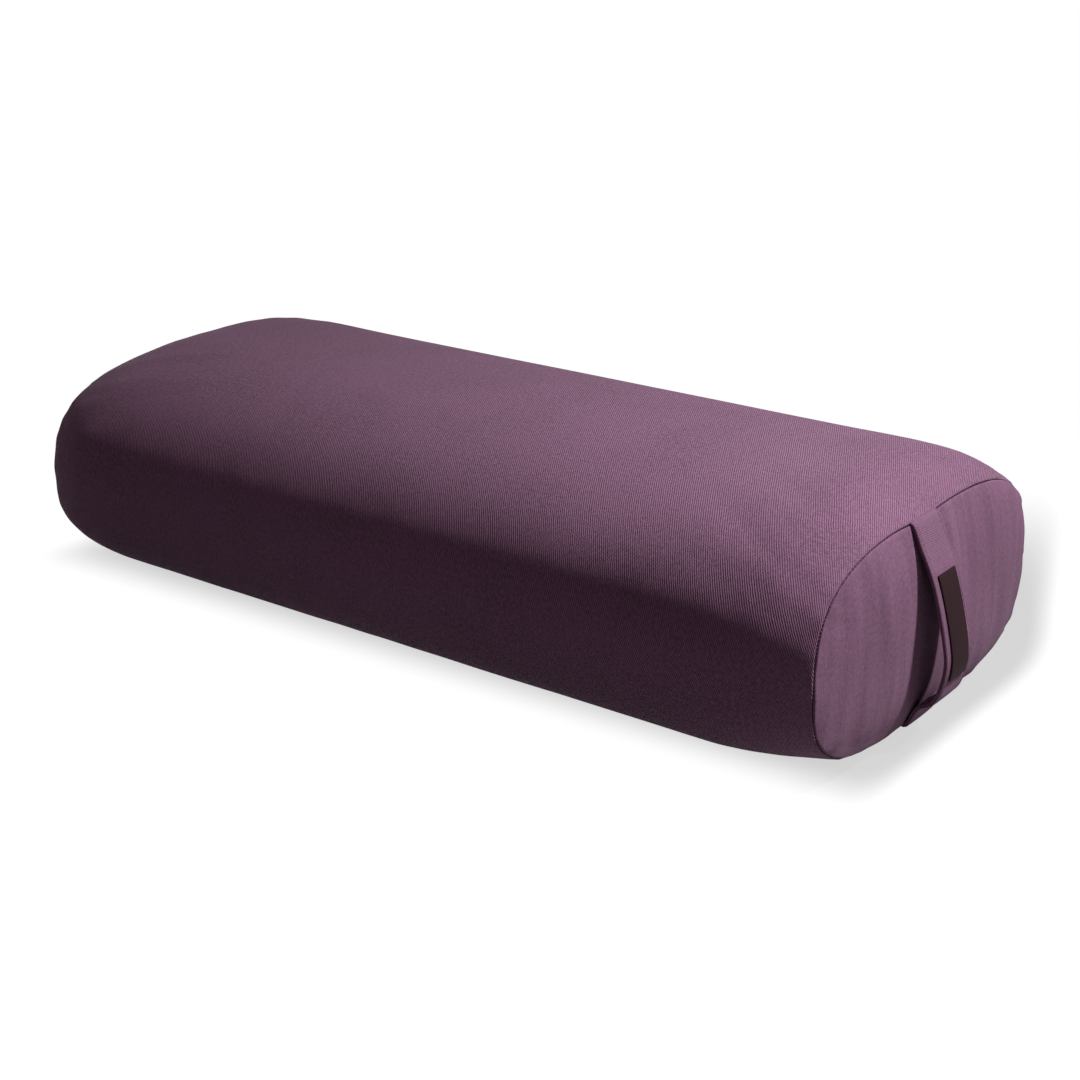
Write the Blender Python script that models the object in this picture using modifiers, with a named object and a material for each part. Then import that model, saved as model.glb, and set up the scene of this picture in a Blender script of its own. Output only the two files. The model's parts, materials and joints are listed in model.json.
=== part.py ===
"""Rectangular yoga bolster, 25 x 12 x 6 inches.

A crowned twill cover of one wrapped panel and two domed end panels, with a sewn carry strap and
label at one end and a zipper along one long side. Inside it are a cotton liner, a batting wrap
with two end pads, and a contoured foam core glued up from three slabs.

Frame: +X along the length towards the strap, +Y towards the zipper side, +Z up. The origin is on
the floor under the middle of the cushion. All sizes are in metres.
"""

import math

import bmesh
import bpy
import numpy as np
from mathutils import Vector

# Driving dimensions of the cushion
LENGTH = 0.635
WIDTH = 0.305
HEIGHT = 0.152
GAP = 0.0003

# Middle section: a superellipse that settles a little into the floor
MID_WIDEST = 0.0687
MID_SETTLE = 0.002
MID_POWERS = (2.44, 2.37, 3.36)

# End seam: a smaller outline whose lower edge is lifted off the floor
SEAM_HALF_WIDTH = 0.135
SEAM_LOW = 0.0112
SEAM_HIGH = 0.1343
SEAM_WIDEST = 0.0696
SEAM_POWERS = (3.56, 2.66, 3.03)
END_BULGE = 0.0108
END_BULGE_POWER = 2.6
END_CENTRE_HEIGHT = 0.0571
FACE_LEAN = 0.0019
SEAM_X = LENGTH / 2 - END_BULGE - FACE_LEAN * (1 - 2 * END_CENTRE_HEIGHT / SEAM_HIGH)

# Where the section starts to draw in towards the seam, over and under
DRAW_TOP_START = 0.261
DRAW_TOP_POWER = 2.26
DRAW_BOTTOM_START = 0.240
DRAW_BOTTOM_POWER = 1.8

# Cage counts: points around a section, and the stations of one half of the sleeve
AROUND = 20
AROUND_INNER = 16
STATIONS = (DRAW_BOTTOM_START, 0.268, 0.292)
STATION_MARGIN = 0.005
DOME_RINGS = (1.0, 0.8, 0.45)
INNER_RINGS = (1.0, 0.62)
WELD = 0.00001

# Cloth and fill layers, each outer face measured in from the cushion's outside
COVER_THICK = 0.0012
PANEL_INSET = 0.0022
PANEL_STEP = 0.001
SEAM_ALLOWANCE = 0.006
LINER_INSET = 0.005
LINER_THICK = 0.0008
LINER_END_X = 0.292
LINER_BULGE = 0.022
BATTING_INSET = 0.0075
BATTING_THICK = 0.014
BATTING_END_X = 0.284
PAD_EDGE = 0.004
PAD_INSET = 0.0079
PAD_CLEARANCE = 0.0022
PAD_BACK_RING = 0.5
CORE_INSET = 0.0226
CORE_END_X = 0.2835
SLAB_THICK = 0.036

# Carry strap: its middle line from the upper seam down to the lower seam, as x and z
STRAP_Y = -0.013
STRAP_WIDTH = 0.032
STRAP_THICK = 0.0026
STRAP_LINE = (
    (0.3062, 0.1342),
    (0.3139, 0.1200),
    (0.3222, 0.0990),
    (0.3304, 0.0680),
    (0.3323, 0.0490),
    (0.3270, 0.0295),
    (0.3166, 0.0225),
    (0.3124, 0.0160),
    (0.3094, 0.0106),
)
STRAP_STEPS = 28
LOOP_TOP_Z = 0.1095
LOOP_BOTTOM_Z = 0.0275
LABEL_TOP_Z = 0.106
LABEL_BOTTOM_Z = 0.048
LABEL_WIDTH = 0.0265
LABEL_Y = STRAP_Y + 0.0018
LABEL_THICK = 0.001

# Zipper: straight along the widest line of the +Y side
ZIP_Z = MID_WIDEST
SLOT_HALF_LENGTH = 0.215
SLOT_WIDTH = 0.013
SLOT_MARGIN = 0.004
TAPE_OUT_Y = 0.1494
TAPE_THICK = 0.0006
TAPE_WIDTH = 0.013
TAPE_HALF_LENGTH = 0.2225
POST_GAP = 0.0018
COIL_WIDTH = 0.0026
COIL_THICK = 0.0017
COIL_BEVEL = 0.0004
COIL_HALF_LENGTH = 0.203
STOP_LENGTH = 0.0025
STOP_RISE = 0.0003
METAL_BEVEL = 0.0003
SLIDER_X = 0.196
SLIDER_LENGTH = 0.013
SLIDER_WIDTH = 0.0092
SLIDER_PLATE = 0.0012
SLIDER_WALL = 0.0009
POST_WIDTH = 0.0012
BRIDGE_LENGTH = 0.009
BRIDGE_WIDTH = 0.002
BRIDGE_RISE = 0.0028
BRIDGE_WALL = 0.0011
PULL_THICK = 0.0011
PULL_WIDTH = 0.0072
PULL_LENGTH = 0.027
PULL_BAR = 0.0012
PULL_EYE_LENGTH = 0.0062
PULL_EYE_WIDTH = 0.0036

# Finishes: base colour, roughness, metallic
FINISHES = {
    "plum_twill": ((0.150, 0.072, 0.125), 0.86, 0.0),
    "plum_webbing": ((0.165, 0.080, 0.140), 0.84, 0.0),
    "dark_label": ((0.030, 0.017, 0.021), 0.32, 0.0),
    "plum_tape": ((0.120, 0.058, 0.100), 0.88, 0.0),
    "plum_coil": ((0.110, 0.055, 0.095), 0.45, 0.0),
    "dark_nickel": ((0.190, 0.175, 0.180), 0.32, 1.0),
    "natural_cotton": ((0.740, 0.700, 0.620), 0.92, 0.0),
    "white_batting": ((0.860, 0.860, 0.840), 0.97, 0.0),
    "cream_foam": ((0.800, 0.740, 0.560), 0.90, 0.0),
}


def clear_scene():
    for thing in list(bpy.data.objects):
        bpy.data.objects.remove(thing, do_unlink=True)


def new_collection(name, hidden=False):
    collection = bpy.data.collections.new(name)
    bpy.context.scene.collection.children.link(collection)
    collection.hide_render = hidden
    return collection


def finish(name):
    """A Principled material of one of the named finishes."""
    material = bpy.data.materials.get(name)
    if material is None:
        colour, roughness, metallic = FINISHES[name]
        material = bpy.data.materials.new(name)
        material.use_nodes = True
        shader = material.node_tree.nodes["Principled BSDF"]
        shader.inputs["Base Color"].default_value = (*colour, 1.0)
        shader.inputs["Roughness"].default_value = roughness
        shader.inputs["Metallic"].default_value = metallic
        material.diffuse_color = (*colour, 1.0)
    return material


def add_object(name, mesh, collection, finish_name=None):
    thing = bpy.data.objects.new(name, mesh)
    collection.objects.link(thing)
    if finish_name:
        mesh.materials.append(finish(finish_name))
    return thing


def add_subdivision(thing, levels=1):
    smooth = thing.modifiers.new("Subdivision", "SUBSURF")
    smooth.levels = levels
    smooth.render_levels = levels
    smooth.use_limit_surface = False
    smooth.boundary_smooth = "PRESERVE_CORNERS"


def add_wall(thing, thickness):
    """Gives an open outer surface its thickness, inwards."""
    wall = thing.modifiers.new("Wall", "SOLIDIFY")
    wall.thickness = thickness
    wall.offset = -1.0
    wall.use_even_offset = True


def add_boolean(thing, other, operation):
    cut = thing.modifiers.new(operation.title(), "BOOLEAN")
    cut.operation = operation
    cut.solver = "EXACT"
    cut.object = other


def superellipse(half_width, low, high, widest, powers, count):
    """A section's outline, anticlockwise from its +Y side, and how far up each point lies, 0 to 1."""
    side, top, bottom = powers
    angle = np.arange(count) * (2 * math.pi / count)
    across, upward = np.cos(angle), np.sin(angle)
    y = half_width * np.sign(across) * np.abs(across) ** (2 / side)
    over = widest + (high - widest) * np.abs(upward) ** (2 / top)
    under = widest - (widest - low) * np.abs(upward) ** (2 / bottom)
    return y, np.where(upward > 0, over, under), (1 + upward) / 2


def fullness(x, start, power):
    """1 along the middle of the cushion, falling to 0 at the end seam."""
    return 1 - (max(0.0, abs(x) - start) / (SEAM_X - start)) ** power


def section(x, inset, count):
    """Points around the cushion at x, drawn in by inset. The cut leans with the end faces."""
    seam_y, seam_z, up = superellipse(
        SEAM_HALF_WIDTH - inset, SEAM_LOW + inset, SEAM_HIGH - inset, SEAM_WIDEST, SEAM_POWERS, count
    )
    mid_y, mid_z, up = superellipse(
        WIDTH / 2 - inset, inset - MID_SETTLE, HEIGHT - inset, MID_WIDEST, MID_POWERS, count
    )
    mid_z = np.maximum(mid_z, inset)
    full = up * fullness(x, DRAW_TOP_START, DRAW_TOP_POWER)
    full += (1 - up) * fullness(x, DRAW_BOTTOM_START, DRAW_BOTTOM_POWER)
    y = seam_y + (mid_y - seam_y) * full
    z = seam_z + (mid_z - seam_z) * full
    lean = FACE_LEAN * (1 - 2 * z / SEAM_HIGH) * abs(x / SEAM_X) ** 3
    return np.stack([np.full(count, x) + math.copysign(1, x) * lean, y, z], axis=1)


def cage_through(points, closed):
    """Cage points that one subdivision carries onto the given points, along the first axis.

    A subdivision moves each point to three quarters of itself and an eighth of each neighbour.
    """
    count = len(points)
    own, beside = 3 / 4, 1 / 8
    step = own * np.eye(count) + beside * (np.eye(count, k=1) + np.eye(count, k=-1))
    if closed:
        step[0, -1] = step[-1, 0] = beside
    else:
        step[0] = np.eye(count)[0]
        step[-1] = np.eye(count)[-1]
    return np.linalg.solve(step, points.reshape(count, -1)).reshape(points.shape)


def around_cage(ring):
    return cage_through(ring, closed=True)


def tube_cage(end_x, inset, count):
    """Rings of a sleeve from -end_x to end_x. Its underside is flat between the drawn-in ends."""
    stations = [x for x in STATIONS if x < end_x - STATION_MARGIN] + [end_x]
    half = np.stack([around_cage(section(x, inset, count)) for x in stations])
    half = cage_through(half, closed=False)
    lowest = round(count * 3 / 4)
    for row in (lowest - 1, lowest, lowest + 1):
        half[0, row, 2] = inset
    return [ring * (-1, 1, 1) for ring in half[::-1]] + list(half)


def dome_cage(rim_x, inset, bulge, shares, count):
    """Rings and the pole of a domed end, from its rim outwards."""
    rim = section(rim_x, inset, count)
    centre = np.array((0.0, 0.0, END_CENTRE_HEIGHT))
    rings = []
    for share in shares:
        ring = centre + (rim - centre) * share
        ring[:, 0] = rim[:, 0] + bulge * (1 - share**END_BULGE_POWER)
        rings.append(around_cage(ring))
    pole = centre + (rim[:, 0].mean() + bulge, 0, 0)
    return rings, pole


def rings_mesh(name, rings, creased=(), start=None, end=None):
    """A skin over rings that advance along +X, closed at a pole where one is given."""
    mesh = bpy.data.meshes.new(name)
    form = bmesh.new()
    rows = [[form.verts.new(point) for point in ring] for ring in rings]
    count = len(rings[0])
    for row, following in zip(rows, rows[1:]):
        for k in range(count):
            after = (k + 1) % count
            form.faces.new((row[k], row[after], following[after], following[k]))
    for pole, row, flip in ((start, rows[0], True), (end, rows[-1], False)):
        if pole is not None:
            tip = form.verts.new(pole)
            for k in range(count):
                pair = (row[k], row[(k + 1) % count])
                form.faces.new((*(reversed(pair) if flip else pair), tip))
    crease = form.edges.layers.float.new("crease_edge")
    for index in creased:
        row = rows[index]
        for k in range(count):
            form.edges.get((row[k], row[(k + 1) % count]))[crease] = 1.0
    form.to_mesh(mesh)
    form.free()
    mesh.shade_smooth()
    return mesh


def on_side(rings, side):
    """The rings as they are for the +X end, or turned over for the -X end."""
    if side > 0:
        return rings
    return [ring * (-1, 1, 1) for ring in rings[::-1]]


def sleeve(name, end_x, inset, thickness, count, collection, finish_name):
    rings = tube_cage(end_x, inset, count)
    middle = len(rings) // 2
    mesh = rings_mesh(name, rings, creased=(middle - 1, middle))
    thing = add_object(name, mesh, collection, finish_name)
    add_subdivision(thing)
    add_wall(thing, thickness)
    return thing


def end_panel(name, side, rim_x, inset, bulge, thickness, shares, count, collection, finish_name):
    """A domed end with its seam allowance turned into the sleeve's mouth."""
    domes, pole = dome_cage(rim_x, inset, bulge, shares, count)
    turned_in = section(rim_x - SEAM_ALLOWANCE, inset + thickness, count)
    rings = on_side([around_cage(turned_in)] + domes, side)
    pole = pole * (side, 1, 1)
    if side > 0:
        mesh = rings_mesh(name, rings, creased=(1,), end=pole)
    else:
        mesh = rings_mesh(name, rings, creased=(len(rings) - 2,), start=pole)
    thing = add_object(name, mesh, collection, finish_name)
    add_subdivision(thing)
    add_wall(thing, thickness)
    return thing


def batting_pad(name, side, collection):
    """A solid pad between the core's end and the domed end of the liner."""
    back_x = BATTING_END_X + GAP
    rim_x = back_x + PAD_EDGE
    bulge = LINER_END_X + LINER_BULGE - rim_x - PAD_CLEARANCE
    domes, pole = dome_cage(rim_x, PAD_INSET, bulge, INNER_RINGS, AROUND_INNER)
    back = section(back_x, PAD_INSET, AROUND_INNER)
    middle = back.mean(axis=0)
    inner = middle + (back - middle) * PAD_BACK_RING
    rings = on_side([around_cage(inner), around_cage(back)] + domes, side)
    poles = [middle * (side, 1, 1), pole * (side, 1, 1)]
    if side < 0:
        poles.reverse()
    creased = (1, 2) if side > 0 else (len(rings) - 3, len(rings) - 2)
    mesh = rings_mesh(name, rings, creased, start=poles[0], end=poles[1])
    thing = add_object(name, mesh, collection, "white_batting")
    add_subdivision(thing)
    return thing


def evaluated_mesh(thing, name):
    """The object's mesh with its modifiers applied."""
    graph = bpy.context.evaluated_depsgraph_get()
    mesh = bpy.data.meshes.new_from_object(thing.evaluated_get(graph))
    mesh.name = name
    return mesh


def slice_of(thing, name, low, high):
    """A mesh of the part of a closed object between two heights, closed where it is cut."""
    mesh = evaluated_mesh(thing, name)
    form = bmesh.new()
    form.from_mesh(mesh)
    for height, facing in ((low, -1), (high, 1)):
        if height is None:
            continue
        result = bmesh.ops.bisect_plane(
            form,
            geom=form.verts[:] + form.edges[:] + form.faces[:],
            plane_co=(0, 0, height),
            plane_no=(0, 0, facing),
            clear_outer=True,
        )
        rim = [part for part in result["geom_cut"] if isinstance(part, bmesh.types.BMEdge)]
        bmesh.ops.contextual_create(form, geom=rim)
    bmesh.ops.recalc_face_normals(form, faces=form.faces)
    form.to_mesh(mesh)
    form.free()
    return mesh


def core_form(guides):
    """The whole contoured core, before it is parted into slabs."""
    rings = tube_cage(CORE_END_X, CORE_INSET, AROUND_INNER)
    middle = len(rings) // 2
    creased = (0, middle - 1, middle, len(rings) - 1)
    caps = [ring.mean(axis=0) for ring in (rings[0], rings[-1])]
    mesh = rings_mesh("core_form", rings, creased, start=caps[0], end=caps[1])
    thing = add_object("core_form", mesh, guides)
    add_subdivision(thing)
    return thing


def core_slabs(collection, guides):
    """Three slabs: the core form cut at two heights, with the glue line's gap between them."""
    form = core_form(guides)
    middle_low = HEIGHT / 2 - SLAB_THICK / 2
    middle_high = middle_low + SLAB_THICK
    cuts = {
        "foam_slab_lower": (None, middle_low - GAP),
        "foam_slab_middle": (middle_low, middle_high),
        "foam_slab_upper": (middle_high + GAP, None),
    }
    for name, (low, high) in cuts.items():
        add_object(name, slice_of(form, name, low, high), collection, "cream_foam")
    bpy.data.objects.remove(form, do_unlink=True)


def box_mesh(name, low, high, bevel=0.0):
    """A block between two corners, with its edges eased by bevel."""
    mesh = bpy.data.meshes.new(name)
    form = bmesh.new()
    bmesh.ops.create_cube(form, size=1.0)
    low, high = Vector(low), Vector(high)
    bmesh.ops.scale(form, vec=high - low, verts=form.verts)
    bmesh.ops.translate(form, vec=(low + high) / 2, verts=form.verts)
    if bevel:
        bmesh.ops.bevel(form, geom=form.edges[:], offset=bevel, segments=1, affect="EDGES")
    form.to_mesh(mesh)
    form.free()
    return mesh


def extruded_mesh(name, outline, half_depth, place):
    """A flat outline extruded both ways, with each of its points set in space by place."""
    curve = bpy.data.curves.new(name, "CURVE")
    curve.dimensions = "2D"
    curve.fill_mode = "BOTH"
    curve.extrude = half_depth
    spline = curve.splines.new("POLY")
    spline.points.add(len(outline) - 1)
    for point, (u, v) in zip(spline.points, outline):
        point.co = (u, v, 0, 1)
    spline.use_cyclic_u = True
    thing = bpy.data.objects.new(name, curve)
    bpy.context.scene.collection.objects.link(thing)
    mesh = evaluated_mesh(thing, name)
    bpy.data.objects.remove(thing, do_unlink=True)
    bpy.data.curves.remove(curve)
    form = bmesh.new()
    form.from_mesh(mesh)
    bmesh.ops.remove_doubles(form, verts=form.verts, dist=WELD)
    for vert in form.verts:
        vert.co = place(*vert.co)
    bmesh.ops.recalc_face_normals(form, faces=form.faces)
    form.to_mesh(mesh)
    form.free()
    return mesh


def smooth_line(points, steps):
    """Points along a smooth curve through the given ones."""
    path = [Vector((x, 0, z)) for x, z in points]
    path = [2 * path[0] - path[1]] + path + [2 * path[-1] - path[-2]]
    line = []
    pieces = len(points) - 1
    for i in range(steps + 1):
        at = i / steps * pieces
        k = min(int(at), pieces - 1)
        t = at - k
        a, b, c, d = path[k : k + 4]
        bend = (2 * a - 5 * b + 4 * c - d) * t**2 + (3 * b - a - 3 * c + d) * t**3
        line.append((2 * b + (c - a) * t + bend) / 2)
    return line


def cut_at(line, high, low):
    """The stretch of a falling line between two heights."""
    kept = []
    for here, after in zip(line, line[1:]):
        for height in (high, low):
            if here.z > height >= after.z:
                kept.append(here.lerp(after, (here.z - height) / (here.z - after.z)))
        if low < after.z < high:
            kept.append(after)
    return kept


def ribbon(name, line, y, width, thickness, lift, collection, finish_name=None):
    """A flat strip along a line, its middle raised by lift towards its outer face."""
    half = width / 2
    side = Vector((0, 1, 0))
    form = bmesh.new()
    rows = []
    for k, point in enumerate(line):
        along = line[min(k + 1, len(line) - 1)] - line[max(k - 1, 0)]
        outward = side.cross(-along).normalized()
        middle = point + outward * (lift + thickness / 2)
        rows.append([form.verts.new(middle + side * (y + offset)) for offset in (-half, half)])
    for row, following in zip(rows, rows[1:]):
        form.faces.new((row[0], following[0], following[1], row[1]))
    mesh = bpy.data.meshes.new(name)
    form.to_mesh(mesh)
    form.free()
    thing = add_object(name, mesh, collection, finish_name)
    add_wall(thing, thickness)
    return thing


def strap(collection, guides):
    """The loop that swings, its two sewn tails, and the label on the loop."""
    line = smooth_line(STRAP_LINE, STRAP_STEPS)
    whole = ribbon("whole_strap", line, STRAP_Y, STRAP_WIDTH, STRAP_THICK, 0.0, guides)
    stretches = {
        "handle_tail_top": (LOOP_TOP_Z + GAP / 2, None),
        "handle_loop": (LOOP_BOTTOM_Z + GAP / 2, LOOP_TOP_Z - GAP / 2),
        "handle_tail_bottom": (None, LOOP_BOTTOM_Z - GAP / 2),
    }
    for name, (low, high) in stretches.items():
        add_object(name, slice_of(whole, name, low, high), collection, "plum_webbing")
    bpy.data.objects.remove(whole, do_unlink=True)
    under_label = cut_at(line, LABEL_TOP_Z, LABEL_BOTTOM_Z)
    lift = STRAP_THICK / 2 + GAP + LABEL_THICK / 2
    ribbon("handle_label", under_label, LABEL_Y, LABEL_WIDTH, LABEL_THICK, lift, collection, "dark_label")


def zipper_track(collection, cutters, cover):
    """The slot in the cover, with the tapes, coils and stops that fill it."""
    reach = SLOT_WIDTH / 2
    slot_mesh = box_mesh(
        "zipper_slot",
        (-SLOT_HALF_LENGTH, TAPE_OUT_Y - SLOT_MARGIN, ZIP_Z - reach),
        (SLOT_HALF_LENGTH, WIDTH / 2 + SLOT_MARGIN, ZIP_Z + reach),
    )
    slot = add_object("zipper_slot", slot_mesh, cutters)
    slot.hide_render = True
    slot.display_type = "WIRE"
    add_boolean(cover, slot, "DIFFERENCE")

    coil_base = TAPE_OUT_Y + GAP
    coil_top = coil_base + COIL_THICK
    for name, up in (("upper", 1), ("lower", -1)):
        edges = [ZIP_Z + up * POST_GAP / 2, ZIP_Z + up * (POST_GAP / 2 + TAPE_WIDTH)]
        tape = box_mesh(
            f"zipper_tape_{name}",
            (-TAPE_HALF_LENGTH, TAPE_OUT_Y - TAPE_THICK, min(edges)),
            (TAPE_HALF_LENGTH, TAPE_OUT_Y, max(edges)),
        )
        add_object(f"zipper_tape_{name}", tape, collection, "plum_tape")
        edges = [ZIP_Z + up * POST_GAP / 2, ZIP_Z + up * (POST_GAP / 2 + COIL_WIDTH)]
        coil = box_mesh(
            f"zipper_coil_{name}",
            (-COIL_HALF_LENGTH, coil_base, min(edges)),
            (COIL_HALF_LENGTH, coil_top, max(edges)),
            bevel=COIL_BEVEL,
        )
        add_object(f"zipper_coil_{name}", coil, collection, "plum_coil")
        stop_x = COIL_HALF_LENGTH + GAP
        stop = box_mesh(
            f"zipper_top_stop_{name}",
            (stop_x, coil_base, min(edges)),
            (stop_x + STOP_LENGTH, coil_top + STOP_RISE, max(edges)),
            bevel=METAL_BEVEL,
        )
        add_object(f"zipper_top_stop_{name}", stop, collection, "dark_nickel")
    reach = POST_GAP / 2 + COIL_WIDTH
    stop = box_mesh(
        "zipper_bottom_stop",
        (-stop_x - STOP_LENGTH, coil_base, ZIP_Z - reach),
        (-stop_x, coil_top + STOP_RISE, ZIP_Z + reach),
        bevel=METAL_BEVEL,
    )
    add_object("zipper_bottom_stop", stop, collection, "dark_nickel")
    return coil_top


def zipper_slider(collection, cutters, coil_top):
    """Slider: two plates on a post, side walls round the coils, and a bridge for the pull."""
    under = TAPE_OUT_Y - TAPE_THICK - GAP
    plate_low = coil_top + STOP_RISE + GAP
    plate_high = plate_low + SLIDER_PLATE
    half, post = SLIDER_WIDTH / 2, POST_WIDTH / 2
    wall_low = TAPE_OUT_Y + GAP
    right = [
        (post, under),
        (half, under),
        (half, under - SLIDER_WALL),
    ]
    upper_right = [
        (half, plate_high),
        (half, wall_low),
        (half - SLIDER_WALL, wall_low),
        (half - SLIDER_WALL, plate_low),
        (post, plate_low),
    ]
    going_down = upper_right + right
    outline = going_down + [(-u, v) for u, v in reversed(going_down)]

    def along_x(u, v, w):
        return (SLIDER_X + w, v, ZIP_Z + u)

    body_mesh = extruded_mesh("zipper_slider", outline, SLIDER_LENGTH / 2, along_x)
    body = add_object("zipper_slider", body_mesh, collection, "dark_nickel")

    reach, foot = BRIDGE_LENGTH / 2, BRIDGE_LENGTH / 2 - BRIDGE_WALL
    crown = plate_high + BRIDGE_RISE
    sunk = plate_high - SLIDER_PLATE / 2
    arch = [
        (reach, sunk),
        (reach, crown - BRIDGE_WALL / 2),
        (foot, crown),
        (-foot, crown),
        (-reach, crown - BRIDGE_WALL / 2),
        (-reach, sunk),
        (-foot, sunk),
        (-foot, crown - BRIDGE_WALL),
        (foot, crown - BRIDGE_WALL),
        (foot, sunk),
    ]

    def along_z(u, v, w):
        return (SLIDER_X + u, v, ZIP_Z + w)

    bridge_mesh = extruded_mesh("zipper_bridge", arch, BRIDGE_WIDTH / 2, along_z)
    bridge = add_object("zipper_bridge", bridge_mesh, cutters)
    bridge.hide_render = True
    bridge.display_type = "WIRE"
    add_boolean(body, bridge, "UNION")
    return (plate_high + crown - BRIDGE_WALL) / 2


def zipper_pull(collection, cutters, hinge_y):
    """Pull tab lying back along the zipper, with its eye round the slider's bridge."""
    tab_mesh = box_mesh(
        "zipper_pull",
        (-PULL_LENGTH, -PULL_THICK / 2, -PULL_WIDTH / 2),
        (PULL_BAR / 2, PULL_THICK / 2, PULL_WIDTH / 2),
        bevel=METAL_BEVEL,
    )
    tab = add_object("zipper_pull", tab_mesh, collection, "dark_nickel")
    tab.location = (SLIDER_X, hinge_y, ZIP_Z)
    eye_mesh = box_mesh(
        "zipper_pull_eye",
        (-PULL_BAR / 2 - PULL_EYE_LENGTH, -PULL_THICK, -PULL_EYE_WIDTH / 2),
        (-PULL_BAR / 2, PULL_THICK, PULL_EYE_WIDTH / 2),
    )
    eye = add_object("zipper_pull_eye", eye_mesh, cutters)
    eye.location = tab.location
    eye.hide_render = True
    eye.display_type = "WIRE"
    add_boolean(tab, eye, "DIFFERENCE")


def build():
    clear_scene()
    parts = new_collection("yoga_bolster")
    cutters = new_collection("cutters", hidden=True)

    cover = sleeve("cover_sleeve", SEAM_X, 0.0, COVER_THICK, AROUND, parts, "plum_twill")
    liner = (LINER_INSET, LINER_THICK, AROUND_INNER, parts, "natural_cotton")
    sleeve("liner_sleeve", LINER_END_X, *liner)
    batting = (BATTING_INSET, BATTING_THICK, AROUND_INNER, parts, "white_batting")
    sleeve("batting_wrap", BATTING_END_X, *batting)

    rim_x = SEAM_X - PANEL_STEP
    panel = (rim_x, PANEL_INSET, LENGTH / 2 - rim_x, COVER_THICK, DOME_RINGS, AROUND, parts, "plum_twill")
    liner_inset = LINER_INSET + LINER_THICK + GAP
    inner = (LINER_END_X - GAP, liner_inset, LINER_BULGE, LINER_THICK, INNER_RINGS, *liner[2:])
    for word, side in (("strap", 1), ("plain", -1)):
        end_panel(f"cover_end_{word}", side, *panel)
        end_panel(f"liner_end_{word}", side, *inner)
        batting_pad(f"batting_end_{word}", side, parts)
    core_slabs(parts, cutters)

    strap(parts, cutters)
    coil_top = zipper_track(parts, cutters, cover)
    hinge_y = zipper_slider(parts, cutters, coil_top)
    zipper_pull(parts, cutters, hinge_y)


build()
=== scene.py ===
"""A yoga bolster: twill cover, domed ends, carry strap and zipper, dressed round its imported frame.

+X runs along the bolster to the strap's end, +Y to the zipper's side and +Z up, in metres. The
bolster's outline is one family of sections, so the cover, the strap's seams and the zipper all
read their places from the same functions. Each piece is made by an operator of its own.
"""

import json
import math
from functools import cache

import bmesh
import bpy
import numpy as np
from bpy.props import FloatProperty, FloatVectorProperty, IntProperty, PointerProperty
from mathutils import Matrix, Vector, interpolate
from mathutils.bvhtree import BVHTree
from mathutils.kdtree import KDTree

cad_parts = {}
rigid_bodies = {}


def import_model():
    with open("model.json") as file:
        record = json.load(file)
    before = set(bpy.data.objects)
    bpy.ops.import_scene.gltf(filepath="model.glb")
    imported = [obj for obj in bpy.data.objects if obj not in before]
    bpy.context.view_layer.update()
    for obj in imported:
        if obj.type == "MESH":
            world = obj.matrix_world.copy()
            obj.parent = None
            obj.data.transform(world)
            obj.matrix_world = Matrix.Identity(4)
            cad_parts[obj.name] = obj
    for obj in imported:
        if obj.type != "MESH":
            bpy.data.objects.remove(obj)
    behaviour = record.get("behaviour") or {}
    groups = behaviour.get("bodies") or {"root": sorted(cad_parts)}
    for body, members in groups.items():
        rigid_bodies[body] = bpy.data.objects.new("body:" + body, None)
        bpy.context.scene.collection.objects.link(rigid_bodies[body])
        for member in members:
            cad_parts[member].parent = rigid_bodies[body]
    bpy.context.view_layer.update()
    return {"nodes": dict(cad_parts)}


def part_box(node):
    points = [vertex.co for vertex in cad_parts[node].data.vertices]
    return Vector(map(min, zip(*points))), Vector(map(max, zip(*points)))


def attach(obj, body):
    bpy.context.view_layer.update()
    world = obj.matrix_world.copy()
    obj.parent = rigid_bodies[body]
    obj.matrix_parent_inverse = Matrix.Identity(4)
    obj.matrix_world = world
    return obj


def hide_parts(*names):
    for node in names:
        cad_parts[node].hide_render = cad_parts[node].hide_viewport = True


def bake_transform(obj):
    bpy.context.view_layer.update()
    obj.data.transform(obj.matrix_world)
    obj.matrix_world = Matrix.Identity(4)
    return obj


for left_over in list(bpy.data.objects):
    bpy.data.objects.remove(left_over, do_unlink=True)
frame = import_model()

bl_info = {
    "name": "Yoga bolster",
    "version": (1, 0, 0),
    "blender": (4, 5, 0),
    "location": "View3D > Sidebar > Bolster",
    "description": "Makes a twill-covered yoga bolster with a carry strap and a zipper",
    "category": "Add Mesh",
}

# The bolster's outline: a middle section and a smaller end seam, which leans with the end face
SLEEVE_LOW, SLEEVE_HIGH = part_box("cover_sleeve")
WIDTH = SLEEVE_HIGH.y - SLEEVE_LOW.y
HEIGHT = SLEEVE_HIGH.z - SLEEVE_LOW.z
END_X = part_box("cover_end_strap")[1].x
MID_WIDEST = 0.0687
MID_SETTLE = 0.002
MID_POWERS = (2.44, 2.37, 3.36)
SEAM_HALF_WIDTH = 0.135
SEAM_LOW = 0.0076
SEAM_HIGH = 0.1343
SEAM_WIDEST = 0.0675
SEAM_POWERS = (3.57, 2.68, 2.88)
END_BULGE = 0.0108
END_BULGE_POWER = 2.6
END_CENTRE_HEIGHT = 0.0571
FACE_LEAN = 0.0019
SEAM_X = END_X - END_BULGE - FACE_LEAN * (1 - 2 * END_CENTRE_HEIGHT / SEAM_HIGH)
DRAW_TOP_START = 0.261
DRAW_TOP_POWER = 2.26
DRAW_BOTTOM_START = 0.240
DRAW_BOTTOM_POWER = 1.5
OUTLINE_POINTS = 1440

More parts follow.
